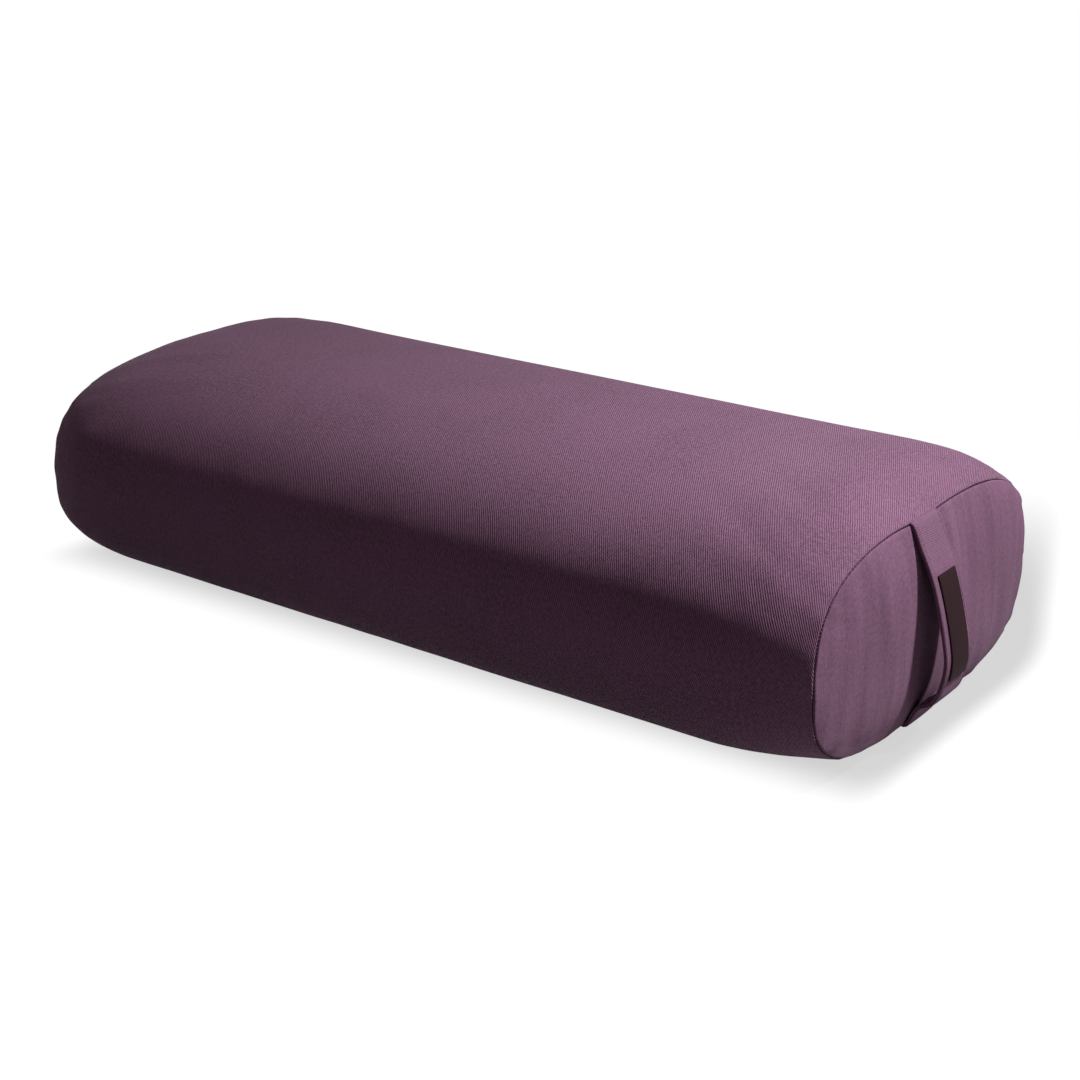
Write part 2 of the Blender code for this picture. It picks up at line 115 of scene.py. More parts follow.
# The cloth's grid: columns beside the zipper, the others round the cover, and rows along it
SLOT_HALF_LENGTH = 0.215
SLOT_HALF_WIDTH = 0.0065
SLOT_COLUMNS = (0.0, 0.0022, 0.0044)
COLUMNS_BY_SLOT = (0.0065, 0.0071, 0.0078, 0.0085, 0.0091, 0.0097, 0.0105, 0.0120, 0.0145)
COLUMNS_ROUND = 190
CLOSER_ROWS_FROM = 0.262
ROWS_BY_SEAM = (0, 0.0001, 0.0002, 0.00035, 0.0006, 0.0009, 0.0013, 0.0018, 0.0025, 0.0036, 0.0052, 0.0078)
PANEL_REACH = 0.075
CLOTH_THICK = 0.0011
REST_HEIGHT = 0.004

# The end seams: the cloth's roll, the drop in it, its turn, and the strap's pull on the upper one
SEAM_ROLL = 0.0017
SEAM_DROP = 0.0012
SEAM_CREASE = 0.0003
SEAM_TURN = 0.0016
SEAM_SINK = 0.0008
SEAM_STITCH = (0.00030, 0.0014)
SEAM_STITCH_STEP = 0.0022
STRAP_PULL = (0.0006, 0.0, -0.0019)
PULL_HALF_WIDTH = 0.024
PULL_REACH = 0.018
PULL_ABOVE = 0.09
PULL_FADE = 0.03

# Puckers across the end seams: how far in they rise and reach, and their lengths along the seam
PUCKER_RISE = 0.0015
GATHER_LENGTH = 0.0046
GATHER_REACH = 0.008
PLEAT_LENGTH = 0.0034
PLEAT_REACH = 0.014
PLEAT_SHARE = 0.8

# The soft folds' fading: beside the sleeve's ends, inside a domed end, and along its rim
END_FOLD_REACH = 0.045
PANEL_FOLD_RISE = 0.012
RIM_FOLD_REACH = 0.02
PANEL_OUT = 0.0001

# The sewn line beside the zipper: its distance from the zipper, its valley, its length, and its
# stitches' rise and step as shares of the thread's width and the stitch's length
TOPSTITCH_AT = 0.0091
TOPSTITCH_DEPTH = 0.00035
TOPSTITCH_SPREAD = 0.0008
TOPSTITCH_HALF_LENGTH = SLOT_HALF_LENGTH + 0.0026
TOPSTITCH_RISE = 0.15
TOPSTITCH_STEP = 1.35
SLOT_MARGIN = 0.012

# The cloth's settling: its even net, what holds it, and how much of the result is kept
NET_SIZE = 0.0058
SETTLE_SHARE = 0.4
SETTLE_CAP = 0.0007
SEAM_HOLD = 0.006
FLOOR_HOLD = 0.003
ZIP_HOLD_Y = 0.143
ZIP_HOLD_HALF = 0.016
SLACK_REACH = 0.06
CLOTH_SETTINGS = {
    "quality": 6,
    "mass": 0.2,
    "tension_stiffness": 25,
    "compression_stiffness": 8,
    "shear_stiffness": 8,
    "bending_stiffness": 0.15,
    "use_pressure": True,
    "uniform_pressure_force": 4.0,
    "vertex_group_mass": "held",
    "vertex_group_shrink": "slack",
    "shrink_min": 0.0,
    "shrink_max": -0.06,
}

# Carry strap: its middle line from inside the upper seam to inside the lower one, as x and z
STRAP_Y = -0.013
STRAP_WIDTH = 0.032
STRAP_THICK = 0.0026
STRAP_LINE = (
    (0.3010, 0.1306), (0.3058, 0.1324), (0.3121, 0.1196), (0.3215, 0.0990), (0.3301, 0.0680),
    (0.3323, 0.0490), (0.3272, 0.0295), (0.3180, 0.0226), (0.3146, 0.0177), (0.3127, 0.0132),
    (0.3106, 0.0098), (0.3080, 0.0088), (0.3050, 0.0106),
)
ACROSS_STRAP = (0, 1, 0)
STRAP_SEWN_IN = 0.0026
STRAP_SWELL = 0.00012
STRAP_VALLEY = 0.00030
STRAP_VALLEY_SPREAD = 0.0007
STRAP_WAVE = 0.0002
STRAP_CURL = 0.00025
HEM_SINK = 0.00012
HEM_STEP = 1.3
LABEL_SHIFT_Y = -0.0004
LABEL_WIDTH = 0.0212
LABEL_THICK = 0.0009
LABEL_BACK = STRAP_THICK / 2 + 0.00035
LABEL_SEWN_IN = 0.0016
LABEL_VALLEY = 0.00012
LABEL_VALLEY_SPREAD = 0.0009
LABEL_STITCH_SINK = 0.0001
LABEL_STITCH = (0.0019, 0.00038)
LABEL_STITCH_STEP = 0.0025
LABEL_TOP_Z = 0.104
LABEL_BOTTOM_Z = 0.0420

# Zipper: heights and depths across its straight line on the +Y side
ZIP_Z = MID_WIDEST
TAPE_OUT_Y = 0.1494
TAPE_THICK = 0.0006
TAPE_WIDTH = 0.013
TAPE_GAP = 0.0004
TAPE_HALF_LENGTH = 0.2225
COIL_BASE = TAPE_OUT_Y + 0.0003
COIL_THICK = 0.0017
COIL_HALF_LENGTH = 0.203
TOOTH_LENGTH = 0.0036
TOOTH_MIDDLE = 0.0017
TOOTH_SHARE = 0.62
SLIDER_LOW, SLIDER_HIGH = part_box("zipper_slider")
SLIDER_X = (SLIDER_LOW.x + SLIDER_HIGH.x) / 2
HINGE_Y = 0.15405

# Slider and pull: outlines along and across the zipper, as shares of the slider or in metres
PLATE_THICK = 0.0012
PLATE_CLEARANCE = 0.0006
UNDER_PLATE_THICK = 0.0009
UNDER_CLEARANCE = 0.0003
SUNK = 0.0002
BRIDGE_WIDTH = 0.0022
BRIDGE_THICK = 0.0011
SHIELD_SHARES = [(1, 0), (0.93, 0.78), (0.45, 1), (-0.45, 0.80), (-0.96, 0.62), (-1, 0)]
WALL_SHARES = (
    (0.80, 0.86), (0.45, 0.985), (-0.45, 0.79), (-0.80, 0.68),
    (-0.80, 0.54), (-0.45, 0.62), (0.45, 0.80), (0.80, 0.70),
)
SLIDER_POST = ((0.0055, 0.0006), (0.0015, 0.0006), (0.0015, -0.0006), (0.0055, -0.0006))
PULL_EYE = (
    (-0.0006, 0.0015), (-0.0006, -0.0015), (-0.0010, -0.0018), (-0.0064, -0.0018),
    (-0.0068, -0.0015), (-0.0068, 0.0015), (-0.0064, 0.0018), (-0.0010, 0.0018),
)

# The photograph's camera: where it stands, what it looks at, and its lens
CAMERA_EYE = (0.76004, -0.98419, 0.51427)
CAMERA_TARGET = (0.03602, -0.01803, 0.05992)
CAMERA_LENS_MM = 65.41

# The studio's light: a round lamp behind a grid, which dims it away from its target, and the world
LAMP_PLACE = (1.066, 0.684, 1.486)
LAMP_TARGET = (0.212, -0.135, 0.07)
LAMP_SIZE = 0.22
LAMP_WATTS = 3.42
LAMP_SPREAD = 49
WORLD_STRENGTH = 0.088
WORLD_TINT = (1.0, 0.76, 0.87, 1.0)
WHITE = (1.0, 1.0, 1.0, 1.0)

# The floor: its own grey, the shadow painted about the object as the camera sees it, and its brightness
FLOOR_GREY = (0.26, 0.26, 0.26, 1.0)
FLOOR_PAINTED_SHADOW = 0.637
FLOOR_GLOW = 1.12
FLOOR_SIZE = 30.0
FLOOR_Z = -0.0002


def length_property(name, description, default):
    return FloatProperty(name=name, description=description, default=default, unit="LENGTH")


def colour_property(name, description, default):
    return FloatVectorProperty(name=name, description=description, default=default, subtype="COLOR")


class BolsterSizes(bpy.types.PropertyGroup):
    rib_pitch: length_property("Rib pitch", "Distance between the twill's ribs", 0.00127)
    rib_slope: FloatProperty(
        name="Rib slope",
        description="Angle between the ribs and the bolster's length",
        default=math.radians(63.0),
        subtype="ANGLE",
    )
    fold_depth: length_property("Fold depth", "Height of the soft folds in the cloth", 0.00045)
    pucker_depth: length_property("Pucker depth", "Height of the puckers at a seam", 0.00048)
    stitch_length: length_property("Stitch length", "Length of one stitch", 0.0026)
    thread_width: length_property("Thread width", "Width of the sewing thread", 0.00055)
    tooth_pitch: length_property("Tooth pitch", "Distance between the zipper's teeth", 0.0015)
    settle_frames: IntProperty(
        name="Settling steps", description="Steps of the cloth's settling over the filling", default=20, min=0
    )


class BolsterColours(bpy.types.PropertyGroup):
    twill: colour_property("Cover twill", "Colour of the cover", (0.186, 0.090, 0.153))
    strap: colour_property("Strap twill", "Colour of the strap", (0.190, 0.094, 0.157))
    label: colour_property("Label", "Colour of the bare label", (0.027, 0.013, 0.016))
    thread: colour_property("Thread", "Colour of the sewing thread", (0.170, 0.080, 0.140))
    tape: colour_property("Zipper tape", "Colour of the tapes", (0.105, 0.046, 0.082))
    coil: colour_property("Zipper coil", "Colour of the teeth", (0.095, 0.042, 0.075))
    metal: colour_property("Zipper metal", "Colour of the slider", (0.190, 0.175, 0.180))
    liner: colour_property("Liner", "Colour of the liner", (0.740, 0.700, 0.620))
    batting: colour_property("Batting", "Colour of the batting", (0.860, 0.860, 0.840))
    foam: colour_property("Foam", "Colour of the foam core", (0.800, 0.740, 0.560))


def bell(value, width):
    """1 where a value is 0, falling away on both sides within a few widths."""
    return np.exp(-((value / width) ** 2))


def unit(vectors):
    return vectors / np.linalg.norm(vectors, axis=-1, keepdims=True)


def distances_along(points):
    """How far each point lies along a line of points, or along its column of a grid."""
    steps = np.linalg.norm(np.diff(points, axis=0), axis=-1)
    return np.concatenate([np.zeros_like(steps[:1]), np.cumsum(steps, axis=0)])


def superellipse(half_width, low, high, widest, powers):
    """A section's outline, anticlockwise from its +Y side, and how far up each point lies, 0 to 1."""
    side, top, bottom = powers
    angle = np.arange(OUTLINE_POINTS) * (2 * math.pi / OUTLINE_POINTS)
    across, upward = np.cos(angle), np.sin(angle)
    y = half_width * np.sign(across) * np.abs(across) ** (2 / side)
    over = widest + (high - widest) * np.abs(upward) ** (2 / top)
    under = widest - (widest - low) * np.abs(upward) ** (2 / bottom)
    return y, np.where(upward > 0, over, under), (1 + upward) / 2


def fullness(x, start, power):
    """1 along the middle of the bolster, falling to 0 at the end seam."""
    return 1 - (max(0.0, abs(x) - start) / (SEAM_X - start)) ** power


def section(x):
    """Points round the bolster at x. The cut leans with the end faces."""
    seam_y, seam_z, _ = superellipse(SEAM_HALF_WIDTH, SEAM_LOW, SEAM_HIGH, SEAM_WIDEST, SEAM_POWERS)
    mid_y, mid_z, up = superellipse(WIDTH / 2, -MID_SETTLE, HEIGHT, MID_WIDEST, MID_POWERS)
    mid_z = np.maximum(mid_z, 0)
    full = up * fullness(x, DRAW_TOP_START, DRAW_TOP_POWER)
    full += (1 - up) * fullness(x, DRAW_BOTTOM_START, DRAW_BOTTOM_POWER)
    y = seam_y + (mid_y - seam_y) * full
    z = seam_z + (mid_z - seam_z) * full
    lean = FACE_LEAN * (1 - 2 * z / SEAM_HIGH) * abs(x / SEAM_X) ** 3
    return np.stack([np.full(len(y), x) + math.copysign(1, x) * lean, y, z], axis=1)


def at_distances(points, spots):
    """Points at given distances along a line of points."""
    run = distances_along(points)
    return np.stack([np.interp(spots, run, points[:, k]) for k in range(3)], axis=1)


def column_spots(perimeter):
    """Distances of the cloth's columns round the cover from the zipper's line."""
    near = np.array(SLOT_COLUMNS + COLUMNS_BY_SLOT)
    far = np.linspace(near[-1], perimeter - near[-1], COLUMNS_ROUND)[1:-1]
    return np.concatenate([near, far, perimeter - near[:0:-1]])


def ring(x):
    """The cover's outer line at x, one point to a column, and the columns' distances."""
    closed = section(x)
    closed = np.vstack([closed, closed[:1]])
    spots = column_spots(distances_along(closed)[-1])
    return at_distances(closed, spots), spots


def row_places():
    """Places of the cloth's rows along the cover, close together near the seams."""
    reach = SEAM_X - ROWS_BY_SEAM[-1]
    half = np.concatenate(
        [
            np.linspace(0, SLOT_HALF_LENGTH, 38),
            np.linspace(SLOT_HALF_LENGTH, CLOSER_ROWS_FROM, 11)[1:],
            np.linspace(CLOSER_ROWS_FROM, reach, 15)[1:-1],
            SEAM_X - np.array(ROWS_BY_SEAM[::-1]),
        ]
    )
    return np.concatenate([-half[:0:-1], half])


def soft_noise(u, v, seed):
    """Smooth noise from -1 to 1 over two arrays, with one swell to a unit."""
    size = 64
    table = np.random.default_rng(seed).uniform(-1, 1, (size, size))
    cell_u, cell_v = np.floor(u).astype(int), np.floor(v).astype(int)
    part_u, part_v = u - cell_u, v - cell_v
    ease_u = part_u * part_u * (3 - 2 * part_u)
    ease_v = part_v * part_v * (3 - 2 * part_v)

    def corner(i, j):
        return table[(cell_u + i) % size, (cell_v + j) % size]

    near = corner(0, 0) * (1 - ease_u) + corner(1, 0) * ease_u
    far = corner(0, 1) * (1 - ease_u) + corner(1, 1) * ease_u
    return near * (1 - ease_v) + far * ease_v


def add_folds(lift, depth, folds):
    """Adds soft folds to a cloth's lift, each with its strength, its place in swells and its seed."""
    for share, u, v, seed in folds:
        lift += depth * share * soft_noise(u, v, seed)


def grid_normals(grid):
    """Outward normals of a grid of rows along +X and closed columns."""
    around = np.roll(grid, -1, axis=1) - np.roll(grid, 1, axis=1)
    along = np.gradient(grid, axis=0)
    return unit(np.cross(around, along))


def seam_fall(distance):
    """How deep the cloth lies beside an end seam: it rolls over, then drops between its neighbours."""
    roll = np.clip(1 - distance / SEAM_ROLL, 0, 1)
    return SEAM_ROLL * (1 - np.sqrt(1 - roll**2)) + SEAM_DROP * bell(distance, SEAM_CREASE)


def strap_pull(grid, distance):
    """How far the strap draws the cloth down and out at the top seam."""
    near = bell(grid[:, :, 1] - STRAP_Y, PULL_HALF_WIDTH) * np.exp(-distance / PULL_REACH)
    near *= np.clip((grid[:, :, 2] - PULL_ABOVE) / PULL_FADE, 0, 1) * (grid[:, :, 0] > 0)
    return near[:, :, None] * np.array(STRAP_PULL)


def puckers(spots, distance, side, depth):
    """Gathers across an end seam, and pleats, which reach further in, where it turns its corners."""
    flat = np.zeros_like(spots)
    wave = np.sin(spots / GATHER_LENGTH + 2.2 * soft_noise(spots / 0.021, flat, 40 + side))
    strength = 0.5 + 0.5 * soft_noise(spots / 0.05, flat, 50 + side)
    gathers = wave * strength * np.exp(-distance / GATHER_REACH)
    facing = seam_facing(side)
    corner = (2 * np.abs(facing[:, 1] * facing[:, 2]) / (1 - facing[:, 0] ** 2)) ** 2
    wave = np.sin(spots / PLEAT_LENGTH + 3 * soft_noise(spots / 0.013, flat, 60 + side)) - 0.3
    pleats = PLEAT_SHARE * corner[None] * wave * np.exp(-distance / PLEAT_REACH)
    return depth * np.clip(distance / PUCKER_RISE, 0, 1) * (gathers + pleats)


@cache
def sleeve_base():
    """The sleeve's smooth outline as rows and columns, and the columns' distances round it."""
    rows, spots = zip(*(ring(x) for x in row_places()))
    return np.array(rows), np.array(spots)


@cache
def panel_base(side):
    """A domed end's smooth outline, from the seam inwards, its normals, and the columns' distances."""
    rim, spots = ring(side * SEAM_X)
    centre = np.array((rim[:, 0].mean(), 0.0, END_CENTRE_HEIGHT))
    shares = panel_shares()
    grid = centre + (rim - centre) * shares[:, None, None]
    grid[:, :, 0] += side * END_BULGE * (1 - shares[:, None] ** END_BULGE_POWER)
    normals = grid_normals(grid) if side > 0 else grid_normals(grid[::-1])[::-1]
    return grid, normals, spots


@cache
def seam_facing(side):
    """The direction out of an end seam, between the two cloths' own directions."""
    sleeve = grid_normals(sleeve_base()[0])[-1 if side > 0 else 0]
    return unit(sleeve + panel_base(side)[1][0])


def seam_turned(normals, distance, side):
    """Normals eased towards the seam's own direction near it."""
    share = bell(distance, SEAM_TURN)[:, :, None]
    return unit(normals * (1 - share) + seam_facing(side)[None] * share)


def even_net():
    """A closed, evenly meshed form of the whole bolster."""
    grid = np.vstack([panel_base(-1)[0][::-1][:-1], sleeve_base()[0][:-1], panel_base(1)[0]])[:, ::2]
    mesh = edited(grid_mesh("settling_net", grid, grid[:, :, 0], grid[:, :, 1]), close_ends)
    net = add_piece("settling_net", mesh)
    with_values(net.modifiers.new("Even", "REMESH"), mode="VOXEL", voxel_size=NET_SIZE)
    apply_modifiers(net)
    return net


def with_values(item, **values):
    """Sets an item's properties and gives it back."""
    for name, value in values.items():
        setattr(item, name, value)
    return item


def read(items, field, width, kind=float):
    """One field of a mesh's items, as rows."""
    values = np.empty(len(items) * width, kind)
    items.foreach_get(field, values)
    return values.reshape(-1, width)


def smoothed(values, edges, rounds):
    """Values at a net's points after that many rounds of averaging with their neighbours."""
    count = np.bincount(edges.ravel(), minlength=len(values))[:, None]
    for _ in range(rounds):
        around = np.zeros_like(values)
        np.add.at(around, edges[:, 0], values[edges[:, 1]])
        np.add.at(around, edges[:, 1], values[edges[:, 0]])
        values = (values + around / count) / 2
    return values


def near_seams(points):
    """Distance of each point from the nearer end seam."""
    lines = np.vstack([panel_base(side)[0][0][::2] for side in (-1, 1)])
    tree = KDTree(len(lines))
    for k, place in enumerate(lines):
        tree.insert(place, k)
    tree.balance()
    return np.array([tree.find(place)[2] for place in points])


@cache
def settled_net():
    """The even net and how far each of its points moves as the cloth settles over its filling."""
    net = even_net()
    rest = read(net.data.vertices, "co", 3)
    distance = near_seams(rest)
    beside_zip = (rest[:, 1] > ZIP_HOLD_Y) & (np.abs(rest[:, 2] - ZIP_Z) < ZIP_HOLD_HALF)
    held = (distance < SEAM_HOLD) | (rest[:, 2] < FLOOR_HOLD) | beside_zip
    slack = np.exp(-distance / SLACK_REACH)
    for name, weights in (("held", held.astype(float)), ("slack", slack)):
        group = net.vertex_groups.new(name=name)
        for k in np.flatnonzero(weights > 0.01):
            group.add([int(k)], float(weights[k]), "REPLACE")
    settings = with_values(net.modifiers.new("Cloth", "CLOTH").settings, **CLOTH_SETTINGS)
    settings.effector_weights.gravity = 0.0
    scene = bpy.context.scene
    for step in range(1, scene.bolster_sizes.settle_frames + 1):
        scene.frame_set(step)
    graph = bpy.context.evaluated_depsgraph_get()
    moved = read(net.evaluated_get(graph).data.vertices, "co", 3)
    scene.frame_set(1)
    normals = read(net.data.vertices, "normal", 3)
    edges = read(net.data.edges, "vertices", 2, int)
    lift = ((moved - rest) * normals).sum(axis=1, keepdims=True)
    lift = smoothed(lift, edges, 2) - smoothed(lift, edges, 70)
    lift = np.clip(lift[:, 0] * SETTLE_SHARE, -SETTLE_CAP, SETTLE_CAP)
    net.data.calc_loop_triangles()
    faces = [tuple(tri.vertices) for tri in net.data.loop_triangles]
    bpy.data.objects.remove(net, do_unlink=True)
    return BVHTree.FromPolygons(rest.tolist(), faces), rest, faces, lift


def settled_lift(grid, distance):
    """The cloth's settling at a grid's points, fading out at the seam."""
    tree, rest, faces, lift = settled_net()
    values = []
    for place in grid.reshape(-1, 3):
        spot, _, face, _ = tree.find_nearest(place.tolist())
        corners = faces[face]
        shares = interpolate.poly_3d_calc([rest[k].tolist() for k in corners], spot)
        values.append(sum(share * lift[k] for share, k in zip(shares, corners)))
    return np.array(values).reshape(distance.shape) * np.clip(distance / SEAM_HOLD, 0, 1)


@cache
def cover_surface(sizes):
    """The sleeve's outer surface as rows and columns, with the cloth's own flat coordinates."""
    grid, spots = sleeve_base()
    normals = grid_normals(grid)
    run = distances_along(grid).mean(axis=1)
    run -= run[-1] / 2
    along, around = np.meshgrid(run, spots[len(spots) // 2], indexing="ij")
    distance = run[-1] - np.abs(along)
    lift = np.zeros(distance.shape)
    half = len(grid) // 2
    for side, part in ((-1, slice(0, half)), (1, slice(half, None))):
        lift[part] = puckers(around[part], distance[part], side, sizes.pucker_depth)
        normals[part] = seam_turned(normals[part], distance[part], side)
    upright = np.clip(1.3 * np.abs(normals[:, :, 1]) - 0.3, 0, 1)
    end_share = np.exp(-distance / END_FOLD_REACH)
    folds = (
        (0.7, along / 0.085, around / 0.06, 3),
        (0.6 * upright, along / 0.022, around / 0.11, 5),
        (0.9 * end_share, around / 0.024, distance / 0.035, 7),
    )
    add_folds(lift, sizes.fold_depth, folds)
    lift += settled_lift(grid, distance)
    lift *= np.clip(grid[:, :, 2] / REST_HEIGHT, 0, 1)
    sewn = np.abs(grid[:, :, 0]) < SLOT_HALF_LENGTH + SLOT_MARGIN
    edge = np.minimum(around, around.max() + COLUMNS_BY_SLOT[0] - around)
    lift -= sewn * TOPSTITCH_DEPTH * bell(edge - TOPSTITCH_AT, TOPSTITCH_SPREAD)
    lift -= seam_fall(distance)
    return grid + normals * lift[:, :, None] + strap_pull(grid, distance), along, around


def grid_mesh(name, grid, flat_u, flat_v, width=0.0, keep=None, pole=None):
    """A mesh over rows and closed columns, with flat_u and flat_v as its cloth coordinates.

    width is the flat distance all round where the columns close, keep drops faces, and pole
    closes the last row.
    """
    rows, columns = grid.shape[:2]
    index = np.arange(rows * columns).reshape(rows, columns)
    following = np.roll(index, -1, axis=1)
    here = np.stack([flat_u, flat_v], axis=-1)
    after = np.roll(here, -1, axis=1)
    after[:, -1, 1] += width
    quads = np.stack([index[:-1], following[:-1], following[1:], index[1:]], axis=-1)
    coords = np.stack([here[:-1], after[:-1], after[1:], here[1:]], axis=2)
    if keep is not None:
        quads, coords = quads[keep], coords[keep]
    faces = quads.reshape(-1, 4).tolist()
    flats = coords.reshape(-1, 2).tolist()
    points = grid.reshape(-1, 3).tolist()
    if pole is not None:
        tip, flat_tip = pole
        faces += [(int(a), int(b), len(points)) for a, b in zip(index[-1], following[-1])]
        points.append(list(tip))
        for first, second in zip(here[-1], after[-1]):
            flats += [first, second, flat_tip]
    mesh = bpy.data.meshes.new(name)
    mesh.from_pydata(points, [], faces)
    layer = mesh.uv_layers.new(name="cloth")
    layer.data.foreach_set("uv", np.array(flats, np.float32).ravel())
    mesh.update()
    mesh.shade_smooth()
    return mesh


def edited(mesh, *steps):
    """A mesh after steps that each work on it as a bmesh."""
    form = bmesh.new()
    form.from_mesh(mesh)
    for step in steps:
        step(form)
    form.to_mesh(mesh)
    form.free()
    return mesh


def close_ends(form):
    bmesh.ops.holes_fill(form, edges=[e for e in form.edges if e.is_boundary])


def face_outwards(form):
    bmesh.ops.recalc_face_normals(form, faces=form.faces)


def merge_doubles(form):
    bmesh.ops.remove_doubles(form, verts=form.verts, dist=0.00001)


def drop_loose(form):
    bmesh.ops.delete(form, geom=[v for v in form.verts if not v.link_faces], context="VERTS")


def add_piece(name, data, material=None):
    thing = bpy.data.objects.new(name, data)
    bpy.context.scene.collection.objects.link(thing)
    if material is not None:
        data.materials.append(material)
    return thing


def add_bevel(thing, width, degrees):
    """Rounded edges wherever faces meet at more than an angle."""
    limit = {"limit_method": "ANGLE", "angle_limit": math.radians(degrees)}
    with_values(thing.modifiers.new("Ease", "BEVEL"), width=width, segments=2, **limit)
    apply_modifiers(thing)


def add_wall(thing):
    """Thickness inwards for an open cloth, and a rounded rim."""
    wall = thing.modifiers.new("Wall", "SOLIDIFY")
    with_values(wall, thickness=CLOTH_THICK, offset=-1.0, use_even_offset=False)
    add_bevel(thing, width=0.0003, degrees=60)


def evaluated_mesh(thing):
    graph = bpy.context.evaluated_depsgraph_get()
    graph.update()
    return bpy.data.meshes.new_from_object(thing.evaluated_get(graph))


def apply_modifiers(thing):
    """Gives an object its evaluated mesh and takes its modifiers off."""
    mesh, old = evaluated_mesh(thing), thing.data
    thing.modifiers.clear()
    thing.data = mesh
    mesh.name = thing.name
    if old.users == 0:
        bpy.data.meshes.remove(old)


def shade_by_angle(mesh, degrees):
    """Smooth shading, with edges left sharp where faces meet at more than an angle."""
    mesh.shade_smooth()
    mesh.set_sharp_from_angle(angle=math.radians(degrees))


def sums(operation, turned=False):
    """An operator for wires, which adds a Math node. turned puts the other value first."""

    def add_node(wire, other):
        first, second = (other, wire) if turned else (wire, other)
        return wire.math(operation, first, second)

    return add_node


class Wire:
    """An output socket in a node tree, which takes part in sums as a number would."""

    def __init__(self, tree, socket=None):
        self.tree = tree
        self.socket = socket

    def node(self, kind, settings=None, inputs=None, output=0):
        """Adds a node, sets it, feeds its sockets with values or wires, and gives its output."""
        made = with_values(self.tree.nodes.new(kind), **(settings or {}))
        for key, value in (inputs or {}).items():
            if isinstance(value, Wire):
                self.tree.links.new(value.socket, made.inputs[key])
            else:
                made.inputs[key].default_value = value
        return Wire(self.tree, made.outputs[output]) if len(made.outputs) else None

    def math(self, operation, first, second=0.0):
        return self.node("ShaderNodeMath", {"operation": operation}, {0: first, 1: second})

    __add__ = __radd__ = sums("ADD")
    __sub__ = sums("SUBTRACT")
    __rsub__ = sums("SUBTRACT", turned=True)
    __mul__ = __rmul__ = sums("MULTIPLY")
    __truediv__ = sums("DIVIDE")

    def parts(self):
        """The x, y and z of a vector."""
        apart = self.node("ShaderNodeSeparateXYZ", inputs={0: self}).socket.node
        return [Wire(self.tree, socket) for socket in apart.outputs]

    def sine(self):
        """A wave of the value from 0 to 1, with a crest to each unit."""
        return self.math("SINE", self * (2 * math.pi)) * 0.5 + 0.5

    def whole(self):
        return self.math("FLOOR", self)

    def noise(self, scale, detail):
        """Noise from 0 to 1 over the places in this wire."""
        settings = {"noise_dimensions": "3D"}
        return self.node("ShaderNodeTexNoise", settings, {"Vector": self, "Scale": scale, "Detail": detail})

    def between(self, low, high):
        """A colour between two, by this wire as a factor from 0 to 1."""
        return self.node("ShaderNodeMix", {"data_type": "RGBA"}, {0: self, 6: low, 7: high}, output=2)


def cleared(block):
    """A world's or a material's empty node tree, as a wire to build from."""
    block.use_nodes = True
    block.node_tree.nodes.clear()
    return Wire(block.node_tree)


def new_material(name, roughness, metallic=0.0, sheen=0.0, specular=0.5):
    """A Principled material, and a wire to start its pattern from."""
    material = bpy.data.materials.new(name)
    material.use_nodes = True
    inputs = material.node_tree.nodes["Principled BSDF"].inputs
    inputs["Roughness"].default_value = roughness
    inputs["Metallic"].default_value = metallic
    inputs["Sheen Weight"].default_value = sheen
    inputs["Sheen Roughness"].default_value = 0.5
    inputs["Specular IOR Level"].default_value = specular
    return material, Wire(material.node_tree)


def tinted(colour, factor):
    return tuple(min(1.0, part * factor) for part in colour) + (1.0,)


def finish_shader(material, colour, roughness, height, depth):
    """Links a pattern's colour, roughness and height to the material's shader."""
    tree = material.node_tree
    bump = height.node("ShaderNodeBump", inputs={"Strength": 1.0, "Distance": depth, "Height": height})
    for socket, wire in (("Base Color", colour), ("Roughness", roughness), ("Normal", bump)):
        tree.links.new(wire.socket, tree.nodes["Principled BSDF"].inputs[socket])
    return material


def cloth_place(start):
    """A piece's flat coordinates along and across its cloth."""
    return start.node("ShaderNodeUVMap", {"uv_map": "cloth"})


def object_place(start):
    return start.node("ShaderNodeTexCoord", output=3)


def twill(name, colour, pitch, slope, sheen, rib_shade_and_grain, streaks):
    """Diagonal ribs of short floats on the cloth's own coordinates, with mottled yarn and soft streaks down
    the cloth; the ribs' crests are painted lighter and their valleys darker, painted highlight and shade
    beside the bump.
    """
    material, start = new_material(name, 0.86, sheen=sheen, specular=0.14)
    flat = cloth_place(start)
    across, down, _ = flat.parts()
    slub = flat.noise(55.0, 3.0) * 0.9 + flat.noise(260.0, 2.0) * 0.5
    rib = across * (math.sin(slope) / pitch) - down * (math.cos(slope) / pitch) + slub
    run = across * (math.cos(slope) / (1.9 * pitch)) + down * (math.sin(slope) / (1.9 * pitch))
    ridge = rib.sine()
    step = (run + rib.whole() * 0.37).sine()
    fuzz = flat.noise(1500.0, 2.0)
    patchy = flat.noise(16.0, 3.0)
    speck = flat.noise(420.0, 1.0)
    stretched = start.node("ShaderNodeCombineXYZ", inputs={0: across, 1: down * 0.12})
    streak = stretched.noise(110.0, 3.0)
    grain = (step - 0.5) * 0.2 + (fuzz - 0.5) * 0.6 + (speck - 0.5) * 1.1
    # Painted highlight and shade: the colour follows the ribs' height, lighter on their crests and darker in
    # their valleys, with random grain
    shade = 0.5 + (ridge - 0.5) * (patchy * 2.1 * rib_shade_and_grain) + grain * (0.3 + 0.7 * rib_shade_and_grain)
    shade = shade + (patchy - 0.5) * 0.4 + (streak - 0.5) * streaks
    tone = shade.between(tinted(colour, 0.50), tinted(colour, 1.58))
    height = ridge * (0.75 + step * 0.25) + fuzz * 0.35
    return finish_shader(material, tone, 0.80 + fuzz * 0.12, height, 0.00016)


def noises(*sizes):
    """A maker of noise patterns, each given as its scale and detail."""
    return lambda start: [object_place(start).noise(*size) for size in sizes]


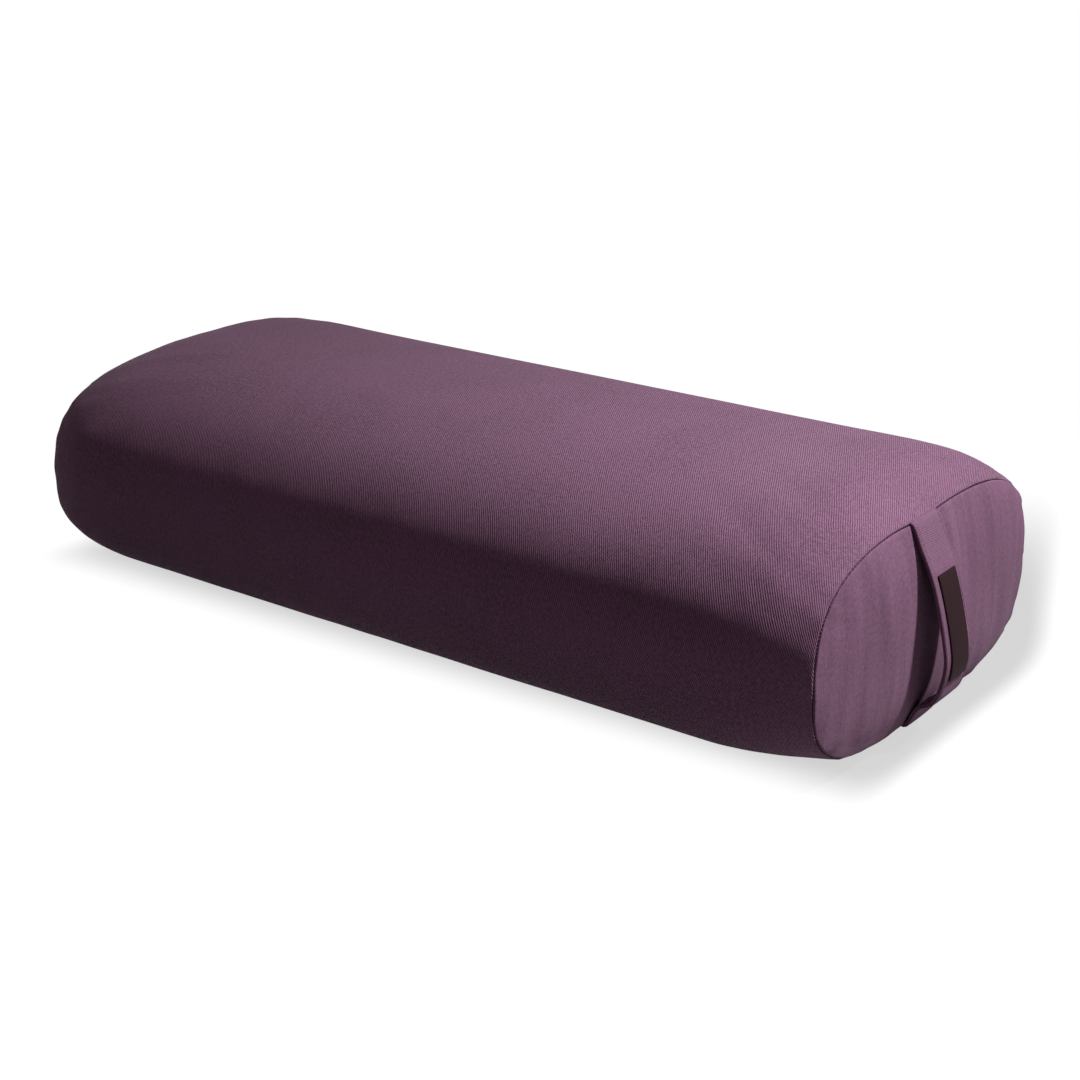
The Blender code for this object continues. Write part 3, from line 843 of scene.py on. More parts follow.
def tape_weave(start):
    """Fine ribs across the tape's length, and the grain of the yarn."""
    flat = cloth_place(start)
    along, down, _ = flat.parts()
    return (along / 0.0006).sine() * 0.6 + (down / 0.0009).sine() * 0.4, flat.noise(900.0, 2.0)


def plain_weave(start):
    """Cotton plain weave on the object's own coordinates, and the grain of the yarn."""
    place = object_place(start)
    along, across, _ = place.parts()
    return (along / 0.0009).sine() * 0.5 + (across / 0.0009).sine() * 0.5, place.noise(600.0, 2.0)


def foam_cells(start):
    """Small round pores, and cloudy shades."""
    place = object_place(start)
    pores = start.node("ShaderNodeTexVoronoi", inputs={"Vector": place, "Scale": 900.0})
    return pores, place.noise(25.0, 2.0)


def total(wires, shares):
    """Wires weighed by shares, leaving out those with none."""
    parts = [wire * share for wire, share in zip(wires, shares) if share]
    return sum(parts[1:], parts[0])


def patterned(name, colour, roughness, patterns, tone, shades, rough, depth, raised=(1,), **shine):
    """A material from patterns, each with its share in the tone, the roughness and the height.

    shades are the tone's two ends as factors of the colour, and rough starts with the least value.
    """
    material, start = new_material(name, roughness, **shine)
    wires = patterns(start)
    low, high = (tinted(colour, shade) for shade in shades)
    smooth, *shares = rough
    shade = total(wires, tone).between(low, high)
    return finish_shader(material, shade, smooth + total(wires, shares), total(wires, raised), depth)


FINISHES = {
    "label": dict(
        name="label_stock", roughness=0.55, specular=0.02, patterns=noises((1400.0, 3.0), (60.0, 2.0)),
        tone=(0.5, 0.5), shades=(0.75, 1.3), rough=(0.48, 0, 0.14), depth=0.00004,
    ),
    "thread": dict(
        name="sewing_thread", roughness=0.7, specular=0.2, patterns=noises((3200.0, 1.0)),
        tone=(1,), shades=(0.75, 1.25), rough=(0.62, 0.15), depth=0.00005,
    ),
    "tape": dict(
        name="zipper_tape_weave", roughness=0.85, sheen=0.15, patterns=tape_weave,
        tone=(0.6, 0.4), shades=(0.65, 1.35), rough=(0.8, 0, 0.1), depth=0.00012,
    ),
    "coil": dict(
        name="coil_nylon", roughness=0.34, specular=0.25, patterns=noises((700.0, 2.0)),
        tone=(1,), shades=(0.8, 1.25), rough=(0.28, 0.14), depth=0.00003,
    ),
    "metal": dict(
        name="dark_nickel", roughness=0.3, metallic=1.0, patterns=noises((2600.0, 3.0), (160.0, 2.0)),
        tone=(0, 1), shades=(0.85, 1.2), rough=(0.22, 0.18), depth=0.00002,
    ),
    "liner": dict(
        name="liner_cotton_finish", roughness=0.9, sheen=0.1, patterns=plain_weave,
        tone=(0.5, 0.5), shades=(0.85, 1.08), rough=(0.84, 0, 0.1), depth=0.0001,
    ),
    "batting": dict(
        name="batting_fibre", roughness=0.95, sheen=0.3, patterns=noises((420.0, 6.0), (45.0, 3.0)),
        tone=(0.6, 0.4), shades=(0.82, 1.08), rough=(0.9, 0.08), raised=(1, 1), depth=0.0006,
    ),
    "foam": dict(
        name="foam_cells", roughness=0.9, patterns=foam_cells,
        tone=(0.7, 0.4), shades=(0.7, 1.1), rough=(0.86, 0, 0.1), depth=0.0003,
    ),
}


@cache
def finish(name):
    """One of the bolster's materials, made when it is first asked for."""
    sizes, colours = bpy.context.scene.bolster_sizes, bpy.context.scene.bolster_colours
    pitch, slope = sizes.rib_pitch, sizes.rib_slope
    # Each twill: its material, colour, rib pitch and slope, sheen, the strength of its painted rib shade and
    # grain, and its streaks
    twills = {
        "sleeve": ("sleeve_twill", colours.twill, pitch, slope, 0.09, 1.0, 0.15),
        "panel": ("panel_twill", colours.twill, pitch, math.radians(40), 0.03, 0.4, 0.6),
        "strap": ("strap_twill_finish", colours.strap, pitch * 0.8, slope, 0.04, 0.13, 0.2),
    }
    if name in twills:
        return twill(*twills[name])
    if name == "dark_thread":
        return patterned(colour=colours.label, **FINISHES["thread"])
    return patterned(colour=getattr(colours, name), **FINISHES[name])


def make_sleeve(sizes):
    """The wrapped panel of the cover, with its zipper slot and its edges turned into the seams."""
    grid, along, around = cover_surface(sizes)
    perimeter = around.max() + SLOT_COLUMNS[1]
    places = row_places()
    in_slot_rows = np.abs((places[:-1] + places[1:]) / 2) < SLOT_HALF_LENGTH
    spots = around[0]
    after = np.append(spots[1:], perimeter)
    in_slot_columns = (after <= SLOT_HALF_WIDTH + 1e-6) | (spots >= perimeter - SLOT_HALF_WIDTH - 1e-6)
    keep = ~(in_slot_rows[:, None] & in_slot_columns[None])
    mesh = grid_mesh("cover_sleeve_cloth", grid, along, around, width=perimeter, keep=keep)
    sleeve = add_piece("cover_sleeve_cloth", edited(mesh, drop_loose), finish("sleeve"))
    add_wall(sleeve)
    return sleeve


def panel_shares():
    """Ring sizes of a domed end, from the seam's line to near its middle."""
    by_seam = 1 - np.array(ROWS_BY_SEAM) / PANEL_REACH
    return np.concatenate([by_seam, np.linspace(by_seam[-1], 0.02, 40)[1:]])


def make_panel(side, name, sizes):
    """A domed end, its rim turned into the seam."""
    grid, normals, spots = panel_base(side)
    distance = distances_along(grid)
    normals = seam_turned(normals, distance, side)
    y, z = grid[:, :, 1], grid[:, :, 2]
    around = np.repeat(spots[None], len(grid), axis=0)
    lift = puckers(around, distance, side, sizes.pucker_depth)
    inner = np.clip(distance / PANEL_FOLD_RISE, 0, 1)
    rim_share = np.exp(-distance / RIM_FOLD_REACH)
    folds = (
        (1.5 * inner, y / 0.016 + 40, z / 0.11, 20 + 4 * side),
        (0.35 * inner, y / 0.006 + 40, z / 0.05, 23 + 4 * side),
        (1.6 * inner, y / 0.045 + 40, z / 0.09, 21 + 4 * side),
        (0.6 * rim_share, around / 0.017, distance / 0.03, 22 + 4 * side),
    )
    add_folds(lift, sizes.fold_depth, folds)
    lift += settled_lift(grid, distance)
    lift -= seam_fall(distance)
    grid = grid + normals * lift[:, :, None] + strap_pull(grid, distance)
    grid[:, :, 0] += side * PANEL_OUT
    pole = grid[-1].mean(axis=0)
    mesh = grid_mesh(name, grid, side * y, z, pole=(pole, (side * pole[1], pole[2])))
    if side < 0:
        mesh.flip_normals()
    panel = add_piece(name, mesh, finish("panel"))
    add_wall(panel)
    return panel


class BOLSTER_OT_cover(bpy.types.Operator):
    """Makes the cover: the wrapped sleeve and the two domed ends"""

    bl_idname = "bolster.cover"
    bl_label = "Cover"

    def execute(self, context):
        sizes = context.scene.bolster_sizes
        sleeve = make_sleeve(sizes)
        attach(sleeve, "cushion")
        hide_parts("cover_sleeve")
        for side, node in ((1, "cover_end_strap"), (-1, "cover_end_plain")):
            panel = make_panel(side, f"{node}_cloth", sizes)
            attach(panel, "cushion")
            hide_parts(node)
        return {"FINISHED"}


def eased(a, b, c, d, steps):
    """Points of the smooth curve from b towards c, with a before them and d after."""
    t = np.linspace(0, 1, steps, endpoint=False)[:, None]
    bend = (2 * a - 5 * b + 4 * c - d) * t**2 + (3 * b - a - 3 * c + d) * t**3
    return (2 * b + (c - a) * t + bend) / 2


def smooth_line(points, spacing):
    """Evenly spaced points on a smooth curve through points given as x and z, and their distances."""
    path = np.array([(x, 0.0, z) for x, z in points])
    path = np.vstack([2 * path[0] - path[1], path, 2 * path[-1] - path[-2]])
    fine = np.vstack([eased(*path[k : k + 4], 24) for k in range(len(points) - 1)] + [path[-2]])
    length = distances_along(fine)[-1]
    spots = np.linspace(0, length, round(length / spacing) + 1)
    return at_distances(fine, spots), spots


def outward_of(line):
    """Unit normals of a falling line in the XZ plane, away from the bolster."""
    along = np.gradient(line, axis=0)
    return unit(np.stack([-along[:, 2], np.zeros(len(line)), along[:, 0]], axis=1))


def sweep(name, line, out, across, profile, spots, material, shift=0.0, wrapped=True):
    """A closed strip: a profile of points across and outwards, carried along a line.

    Its cloth coordinates are wrapped round the profile, or else lie flat across it.
    """
    profile = np.array(profile)
    grid = line[:, None] + out[:, None] * (profile[None, :, 1] + shift)[:, :, None]
    grid = grid + profile[None, :, :1] * np.array(across)
    girth = distances_along(np.vstack([profile, profile[:1]]))
    flat = np.meshgrid(spots, girth[:-1] if wrapped else profile[:, 0], indexing="ij")
    mesh = grid_mesh(name, grid, *flat, width=girth[-1] * wrapped)
    edited(mesh, close_ends, face_outwards)
    shade_by_angle(mesh, 50)
    return add_piece(name, mesh, material)


def turned_edge(flat, radius, degrees, fullness=1.0):
    """Points round the edge of a strip, beyond its flat half."""
    angles = np.radians(degrees)
    return list(zip(flat + radius * fullness * np.cos(angles), radius * np.sin(angles)))


def strap_profile():
    """Two folded layers pressed together: sewn valleys on each face and a fold line in each edge."""
    half, radius = STRAP_WIDTH / 2, STRAP_THICK / 2
    flat = half - radius
    by_edge = np.linspace(flat - 0.005, flat, 13)
    across = np.concatenate([-by_edge[::-1], np.linspace(-by_edge[0], by_edge[0], 9)[1:-1], by_edge])
    pressed = bell(np.abs(across) - (half - STRAP_SEWN_IN), STRAP_VALLEY_SPREAD)
    top = list(zip(across, radius + STRAP_SWELL - STRAP_VALLEY * pressed))
    notch = 1 - 0.75 * bell(np.linspace(-1, 1, 11), 0.2)
    right = top + turned_edge(flat, radius, np.linspace(75, -75, 11), notch)
    return right + [(-a, -b) for a, b in right]


@cache
def strap_line():
    """The strap's middle line, its distances along it and its directions out."""
    line, spots = smooth_line(STRAP_LINE, 0.0014)
    return line + (0, STRAP_Y, 0), spots, outward_of(line)


def make_strap():
    """The folded strap, gently waved and curled."""
    line, spots, out = strap_line()
    profile = strap_profile()
    across = np.array(profile)[None, :, 0]
    wave = STRAP_WAVE * soft_noise(spots[:, None] / 0.02, across / 0.02 + 3, 31)
    curl = STRAP_CURL * (across / (STRAP_WIDTH / 2)) ** 2
    curl = curl * soft_noise(spots[:, None] / 0.03, across * 0, 33)
    return sweep("carry_strap", line, out, ACROSS_STRAP, profile, spots, finish("strap"), wave + curl)


def between_heights(line, high, low):
    inside = np.flatnonzero((line[:, 2] <= high) & (line[:, 2] >= low))
    return slice(inside[0], inside[-1] + 1)


def label_profile():
    """A thin rounded slab whose face is drawn down a little along its sewn edges."""
    half, radius = LABEL_WIDTH / 2, LABEL_THICK / 2
    across = np.linspace(-(half - radius), half - radius, 25)
    face = radius - LABEL_VALLEY * bell(half - np.abs(across) - LABEL_SEWN_IN, LABEL_VALLEY_SPREAD)
    edge = turned_edge(half - radius, radius, np.linspace(60, -60, 5))
    foot = [(a, -radius) for a in across[::-1]]
    return list(zip(across, face)) + edge + foot + [(-a, b) for a, b in edge[::-1]]


def make_label():
    """The bare label, laid along the strap's outer face."""
    line, spots, out = strap_line()
    part = between_heights(line, LABEL_TOP_Z, LABEL_BOTTOM_Z)
    centre = line + out * (LABEL_BACK + LABEL_THICK / 2) + (0, LABEL_SHIFT_Y, 0)
    profile = label_profile()
    label = sweep("strap_label", centre[part], out[part], ACROSS_STRAP, profile, spots[part], finish("label"))
    add_bevel(label, width=0.00025, degrees=55)
    label.data.shade_smooth()
    return label


class BOLSTER_OT_strap(bpy.types.Operator):
    """Makes the carry strap and its bare label"""

    bl_idname = "bolster.strap"
    bl_label = "Carry strap"

    def execute(self, context):
        strap = make_strap()
        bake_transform(strap)
        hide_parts("handle_loop", "handle_tail_top", "handle_tail_bottom")
        label = make_label()
        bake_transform(label)
        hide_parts("handle_label")
        return {"FINISHED"}


@cache
def follow_tree():
    """Geometry nodes that set a shape at even steps along each line, turned to its facing."""
    tree = bpy.data.node_groups.new("shapes_along_lines", "GeometryNodeTree")
    given = {"Lines": "Geometry", "Step": "Float", "Shape": "Object", "Finish": "Material"}
    for name, kind in given.items():
        tree.interface.new_socket(name, in_out="INPUT", socket_type=f"NodeSocket{kind}")
    tree.interface.new_socket("Geometry", in_out="OUTPUT", socket_type="NodeSocketGeometry")
    start = Wire(tree)
    lines, step, shape, paint = (start.node("NodeGroupInput", output=name) for name in given)
    curve = start.node("GeometryNodeMeshToCurve", inputs={"Mesh": lines})
    evenly = start.node("GeometryNodeResampleCurve", {"mode": "LENGTH"}, {"Curve": curve, "Length": step})
    facing = start.node("GeometryNodeInputNamedAttribute", {"data_type": "FLOAT_VECTOR"}, {"Name": "facing"})
    tangent = start.node("GeometryNodeInputTangent")
    turning = "FunctionNodeAlignRotationToVector"
    ahead = start.node(turning, {"axis": "X"}, {"Vector": tangent})
    turned = start.node(turning, {"axis": "Z", "pivot_axis": "X"}, {"Rotation": ahead, "Vector": facing})
    solid = start.node("GeometryNodeObjectInfo", inputs={"Object": shape}, output="Geometry")
    inputs = {"Points": evenly, "Instance": solid, "Rotation": turned}
    placed = start.node("GeometryNodeInstanceOnPoints", inputs=inputs)
    real = start.node("GeometryNodeRealizeInstances", inputs={"Geometry": placed})
    painted = start.node("GeometryNodeSetMaterial", inputs={"Geometry": real, "Material": paint})
    start.node("NodeGroupOutput", inputs={"Geometry": painted})
    return tree


def lines_mesh(name, lines):
    """Edges along lines given as points and facings, with each point's facing as an attribute."""
    points, facings = (np.vstack(part) for part in zip(*lines))
    ends = set(np.cumsum([len(line) for line, _ in lines]))
    edges = [(k - 1, k) for k in range(1, len(points)) if k not in ends]
    mesh = bpy.data.meshes.new(name)
    mesh.from_pydata(points.tolist(), edges, [])
    layer = mesh.attributes.new("facing", "FLOAT_VECTOR", "POINT")
    layer.data.foreach_set("vector", facings.astype(np.float32).ravel())
    return mesh


def along_lines(name, lines, step, shape, material):
    """A plain mesh of one shape set along lines, made through the shared node tree."""
    guide = add_piece(name, lines_mesh(name, lines))
    repeat = guide.modifiers.new("Shapes", "NODES")
    repeat.node_group = follow_tree()
    values = {"Step": step, "Shape": shape, "Finish": material}
    for item in repeat.node_group.interface.items_tree:
        if item.in_out == "INPUT" and item.name in values:
            repeat[item.identifier] = values[item.name]
    apply_modifiers(guide)
    if not guide.data.polygons:
        raise RuntimeError(f"{name} came out empty")
    guide.data.shade_smooth()
    return guide


def shape_object(name, form, material=None):
    """An object from a bmesh."""
    mesh = bpy.data.meshes.new(name)
    form.to_mesh(mesh)
    form.free()
    return add_piece(name, mesh, material)


def stitch_shape(length, width):
    """One stitch: a short thread that dips into the cloth at both ends, its faces in a fixed order."""
    form = bmesh.new()
    bmesh.ops.create_uvsphere(form, u_segments=8, v_segments=6, radius=0.5)
    bmesh.ops.rotate(form, verts=form.verts, matrix=Matrix.Rotation(math.pi / 2, 3, "Y"))
    bmesh.ops.scale(form, verts=form.verts, vec=(length, width, min(length, width) * 0.8))
    form.faces.sort(key=lambda face: face.calc_center_median().dot((9, 3, 1)))
    return shape_object("stitch", form)


def tooth_shape(length, width, height):
    """One turn of the coil: a rounded bar across the chain."""
    form = bmesh.new()
    bmesh.ops.create_cube(form, size=1.0)
    long_edges = [e for e in form.edges if abs((e.verts[0].co - e.verts[1].co).y) > 0.5]
    bmesh.ops.subdivide_edges(form, edges=long_edges, cuts=2)
    bmesh.ops.scale(form, verts=form.verts, vec=(width, length, height))
    bmesh.ops.bevel(form, geom=form.edges[:], offset=width * 0.28, segments=2, affect="EDGES", profile=0.7)
    return shape_object("coil_tooth", form)


def make_coil(name, up, pitch):
    """One side of the chain, its teeth half a pitch away from the other side's."""
    place = (COIL_BASE + COIL_THICK / 2, ZIP_Z + up * TOOTH_MIDDLE)
    reach, shift = COIL_HALF_LENGTH - pitch, pitch / 4 * up
    line = [(end * reach + shift, *place) for end in (-1, 1)]
    shape = tooth_shape(TOOTH_LENGTH, pitch * TOOTH_SHARE, COIL_THICK)
    made = along_lines(name, [(line, [(0, 1, 0)] * 2)], pitch, shape, finish("coil"))
    bpy.data.objects.remove(shape, do_unlink=True)
    return made


def make_tape(name, up):
    """One zipper tape, flat along X and facing +Y, with rounded edges."""
    radius = TAPE_THICK / 2
    flat = TAPE_WIDTH / 2 - radius
    face = [(a, radius) for a in np.linspace(-flat, flat, 9)] + turned_edge(flat, radius, (60, 0, -60))
    profile = face + [(-a, -b) for a, b in face]
    spots = np.linspace(-TAPE_HALF_LENGTH, TAPE_HALF_LENGTH, 90)
    middle = ZIP_Z + up * (TAPE_GAP + TAPE_WIDTH / 2)
    line = np.array([(x, TAPE_OUT_Y - radius, middle) for x in spots])
    out = np.tile((0.0, 1.0, 0.0), (len(line), 1))
    return sweep(name, line, out, (0, 0, -1), profile, spots, finish("tape"), wrapped=False)


def rounded(points, steps=8):
    """A smooth closed outline through points."""
    around = [np.roll(points, -k, axis=0) for k in (-1, 0, 1, 2)]
    return np.vstack([eased(*four, steps) for four in zip(*around)])


def mirrored(half):
    """A closed outline from the half of it above its axis, which starts and ends on the axis."""
    return half + [(u, -v) for u, v in half[-2:0:-1]]


def scaled(shares, length, width):
    """Points given as shares of a length and a width."""
    return [(u * length, v * width) for u, v in shares]


def facing_out(y):
    """Where a plate's points go when it lies across the zipper at y and faces +Y."""
    return lambda u, v, w: (SLIDER_X + u, y + w, ZIP_Z + v)


def plate_mesh(name, outlines, thick, bevel, place):
    """A plate from an outline and its holes, with eased edges, set in space by place."""
    curve = with_values(bpy.data.curves.new(name, "CURVE"), dimensions="2D", fill_mode="BOTH")
    with_values(curve, extrude=thick / 2 - bevel, bevel_depth=bevel, bevel_resolution=2, offset=-bevel)
    for outline in outlines:
        spline = curve.splines.new("POLY")
        spline.points.add(len(outline) - 1)
        for point, (u, v) in zip(spline.points, outline):
            point.co = (u, v, 0, 1)
        spline.use_cyclic_u = True
    thing = add_piece(name, curve)
    mesh = evaluated_mesh(thing)
    bpy.data.objects.remove(thing, do_unlink=True)

    def set_in_space(form):
        for vert in form.verts:
            vert.co = place(*vert.co)

    return edited(mesh, merge_doubles, set_in_space, face_outwards)


def joined(name, meshes):
    """One metal piece from several meshes."""
    form = bmesh.new()
    for mesh in meshes:
        form.from_mesh(mesh)
        bpy.data.meshes.remove(mesh)
    piece = shape_object(name, form, finish("metal"))
    shade_by_angle(piece.data, 38)
    return piece


def make_slider():
    """Two shield plates on a post, side walls round the chain, and the bridge that holds the pull."""
    half_length = (SLIDER_HIGH.x - SLIDER_LOW.x) / 2
    half_width = (SLIDER_HIGH.z - SLIDER_LOW.z) / 2
    shield = rounded(scaled(mirrored(SHIELD_SHARES), half_length, half_width))
    plate_low = COIL_BASE + COIL_THICK + PLATE_CLEARANCE
    plate_high = plate_low + PLATE_THICK
    under = TAPE_OUT_Y - TAPE_THICK - UNDER_CLEARANCE
    layers = [
        ("slider_plate", shield, plate_low, plate_high, 0.00025),
        ("slider_plate", shield, under - UNDER_PLATE_THICK, under, 0.00025),
    ]
    for side in (-1, 1):
        wall = scaled(WALL_SHARES, half_length, side * half_width)
        layers.append(("slider_wall", wall, COIL_BASE, plate_low + SUNK, 0.00012))
    layers.append(("slider_post", SLIDER_POST, under - SUNK, plate_low + SUNK, 0.0001))
    meshes = []
    for name, outline, low, high, bevel in layers:
        meshes.append(plate_mesh(name, [outline], high - low, bevel, facing_out((low + high) / 2)))
    crown, foot = SLIDER_HIGH.y, plate_high - 2 * SUNK
    outer = [(0.0045, foot), (0.0045, crown - 0.0009), (0.0038, crown)]
    inner = [(0.0034, foot), (0.0034, crown - 0.0015), (0.0030, crown - BRIDGE_THICK)]
    bridge = outer + [(-u, v) for u, v in outer[::-1] + inner] + inner[::-1]

    def standing(u, v, w):
        return (SLIDER_X + u, v, ZIP_Z + w)

    meshes.append(plate_mesh("slider_bridge", [bridge], BRIDGE_WIDTH, 0.0003, standing))
    return joined("zipper_slider_body", meshes)


def make_pull():
    """The pull tab, lying back along the chain: an eye round the bridge and a rounded grip."""
    low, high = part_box("zipper_pull")
    half = (high.z - low.z) / 2
    length = high.x - low.x
    # Half of the outline, from the eye's end to the grip's, from the hinge and the middle
    upper = [
        (0.0006, 0.0),
        (0.0002, half * 0.62),
        (-0.0035, half * 0.80),
        (-0.0085, half * 0.72),
        (-0.0125, half * 0.74),
        (-length * 0.80, half * 0.98),
        (-length * 0.955, half * 0.86),
        (-length + 0.0006, 0.0),
    ]
    turns = np.radians(range(0, 360, 45))
    grip = rounded([(-0.0215 + 0.0022 * math.cos(t), 0.0013 * math.sin(t)) for t in turns], 3)
    outlines = [rounded(mirrored(upper), steps=6), PULL_EYE, grip]
    mesh = plate_mesh("pull_tab", outlines, high.y - low.y, 0.00028, facing_out(HINGE_Y))
    return joined("zipper_pull_tab", [mesh])


class BOLSTER_OT_zipper(bpy.types.Operator):
    """Makes the zipper: tapes, toothed coils, slider and pull tab, and gives the stops their metal finish"""

    bl_idname = "bolster.zipper"
    bl_label = "Zipper"

    def execute(self, context):
        for word, up in (("upper", 1), ("lower", -1)):
            tape = make_tape(f"zipper_tape_{word}_cloth", up)
            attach(tape, "cushion")
            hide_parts(f"zipper_tape_{word}")
            coil = make_coil(f"zipper_coil_{word}_teeth", up, context.scene.bolster_sizes.tooth_pitch)
            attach(coil, "cushion")
            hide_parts(f"zipper_coil_{word}")
        slider = make_slider()
        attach(slider, "slider")
        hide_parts("zipper_slider")
        pull = make_pull()
        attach(pull, "pull")
        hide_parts("zipper_pull")
        for node in ("zipper_top_stop_upper", "zipper_top_stop_lower", "zipper_bottom_stop"):
            stop = frame["nodes"][node]
            stop.data.materials.clear()
            stop.data.materials.append(finish("metal"))
        return {"FINISHED"}


def cover_line(spot, reach, sizes, lift):
    """A line on the cover along X, at a distance round from the zipper, and its facings."""
    grid, _, around = cover_surface(sizes)
    column = int(np.abs(around[0] - spot).argmin())
    chosen = np.abs(grid[:, column, 0]) <= reach + 1e-6
    facing = grid_normals(grid)[chosen, column]
    return grid[chosen, column] + facing * lift, facing


def seam_line(side):
    """The closed line of an end seam's crossing threads, and its facings."""
    facing = seam_facing(side)
    rim = panel_base(side)[0][0] - facing * SEAM_SINK
    rim = rim + strap_pull(rim[None], np.zeros((1, len(rim))))[0]
    return np.vstack([rim, rim[:1]]), np.vstack([facing, facing[:1]])


def hem_lines():
    """The two sewn lines on each face of the strap."""
    line, _, out = strap_line()
    line, out = line[6:-7], out[6:-7]
    rows = []
    for side in (-1, 1):
        for face in (-1, 1):
            inset = (0, side * (STRAP_WIDTH / 2 - STRAP_SEWN_IN), 0)
            rows.append((line + out * (face * (STRAP_THICK / 2 - HEM_SINK)) + inset, out * face))
    return rows


def label_lines():
    """The sewn lines along the label's four edges."""
    line, _, out = strap_line()
    part = between_heights(line, LABEL_TOP_Z - LABEL_SEWN_IN, LABEL_BOTTOM_Z + LABEL_SEWN_IN)
    out = out[part]
    edge = line[part] + out * (LABEL_BACK + LABEL_THICK - LABEL_STITCH_SINK) + (0, LABEL_SHIFT_Y, 0)
    inset = LABEL_WIDTH / 2 - LABEL_SEWN_IN
    rows = [(edge + (0, side * inset, 0), out) for side in (-1, 1)]
    for end in (0, -1):
        row = [edge[end] + (0, y, 0) for y in np.linspace(-inset, inset, 12)]
        rows.append((row, [out[end]] * len(row)))
    return rows


class BOLSTER_OT_stitches(bpy.types.Operator):
    """Sews the stitch rows beside the zipper, along the strap and round the label"""

    bl_idname = "bolster.stitches"
    bl_label = "Stitches"

    def execute(self, context):
        sizes = context.scene.bolster_sizes
        length, width, thread = sizes.stitch_length, sizes.thread_width, finish("thread")
        stitch = stitch_shape(length, width)
        perimeter = ring(0.0)[1].max() + SLOT_COLUMNS[1]
        spots = (TOPSTITCH_AT, perimeter - TOPSTITCH_AT)
        rows = [cover_line(spot, TOPSTITCH_HALF_LENGTH, sizes, width * TOPSTITCH_RISE) for spot in spots]
        seams = along_lines("zipper_topstitch", rows, length * TOPSTITCH_STEP, stitch, thread)
        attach(seams, "cushion")

        crossing = stitch_shape(*SEAM_STITCH)
        for side, node in ((1, "strap"), (-1, "plain")):
            line = [seam_line(side)]
            ticks = along_lines(f"seam_stitches_{node}", line, SEAM_STITCH_STEP, crossing, thread)
            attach(ticks, "cushion")

        hem = along_lines("strap_topstitch", hem_lines(), length * HEM_STEP, stitch, thread)
        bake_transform(hem)

        small = stitch_shape(*LABEL_STITCH)
        dark = finish("dark_thread")
        border = along_lines("label_stitching", label_lines(), LABEL_STITCH_STEP, small, dark)
        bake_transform(border)
        for helper in (stitch, crossing, small):
            bpy.data.objects.remove(helper, do_unlink=True)
        return {"FINISHED"}


def refined_copy(node, name, material):
    """A smoother copy of a layer inside the cover, its sharp edges kept."""
    form = bmesh.new()
    form.from_mesh(frame["nodes"][node].data)
    merge_doubles(form)
    crease = form.edges.layers.float.new("crease_edge")
    for edge in form.edges:
        if len(edge.link_faces) == 2 and edge.calc_face_angle() > math.radians(35):
            edge[crease] = 1.0
    layer = shape_object(name, form, material)
    with_values(layer.modifiers.new("Smooth", "SUBSURF"), levels=1, render_levels=1)
    apply_modifiers(layer)
    shade_by_angle(layer.data, 40)
    return layer


class BOLSTER_OT_filling(bpy.types.Operator):
    """Makes the layers inside the cover: liner, batting and foam core"""

    bl_idname = "bolster.filling"
    bl_label = "Filling"

    def execute(self, context):
        layers = {
            "liner": ("liner_cotton", ("liner_sleeve", "liner_end_strap", "liner_end_plain")),
            "batting": ("batting", ("batting_wrap", "batting_end_strap", "batting_end_plain")),
            "foam": ("foam", ("foam_slab_lower", "foam_slab_middle", "foam_slab_upper")),
        }
        for kind, (slot, nodes) in layers.items():
            for node in nodes:
                layer = refined_copy(node, f"{node}_soft", finish(kind))
                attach(layer, "cushion")
                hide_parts(node)
        return {"FINISHED"}


def aimed(name, data, place, target):
    """Sets a lamp or the camera in its place, looking at its target."""
    thing = add_piece(name, data)
    thing.location = place
    thing.rotation_euler = (Vector(target) - Vector(place)).to_track_quat("-Z", "Y").to_euler()
    return thing


def seen_directly(start):
    """1 for rays from the camera, mirrors and glass, and 0 for light that the scene passes on."""
    names = ("Is Camera Ray", "Is Glossy Ray", "Is Transmission Ray")
    camera, glossy, through = (start.node("ShaderNodeLightPath", output=name) for name in names)
    return start.math("MAXIMUM", start.math("MAXIMUM", camera, glossy), through)


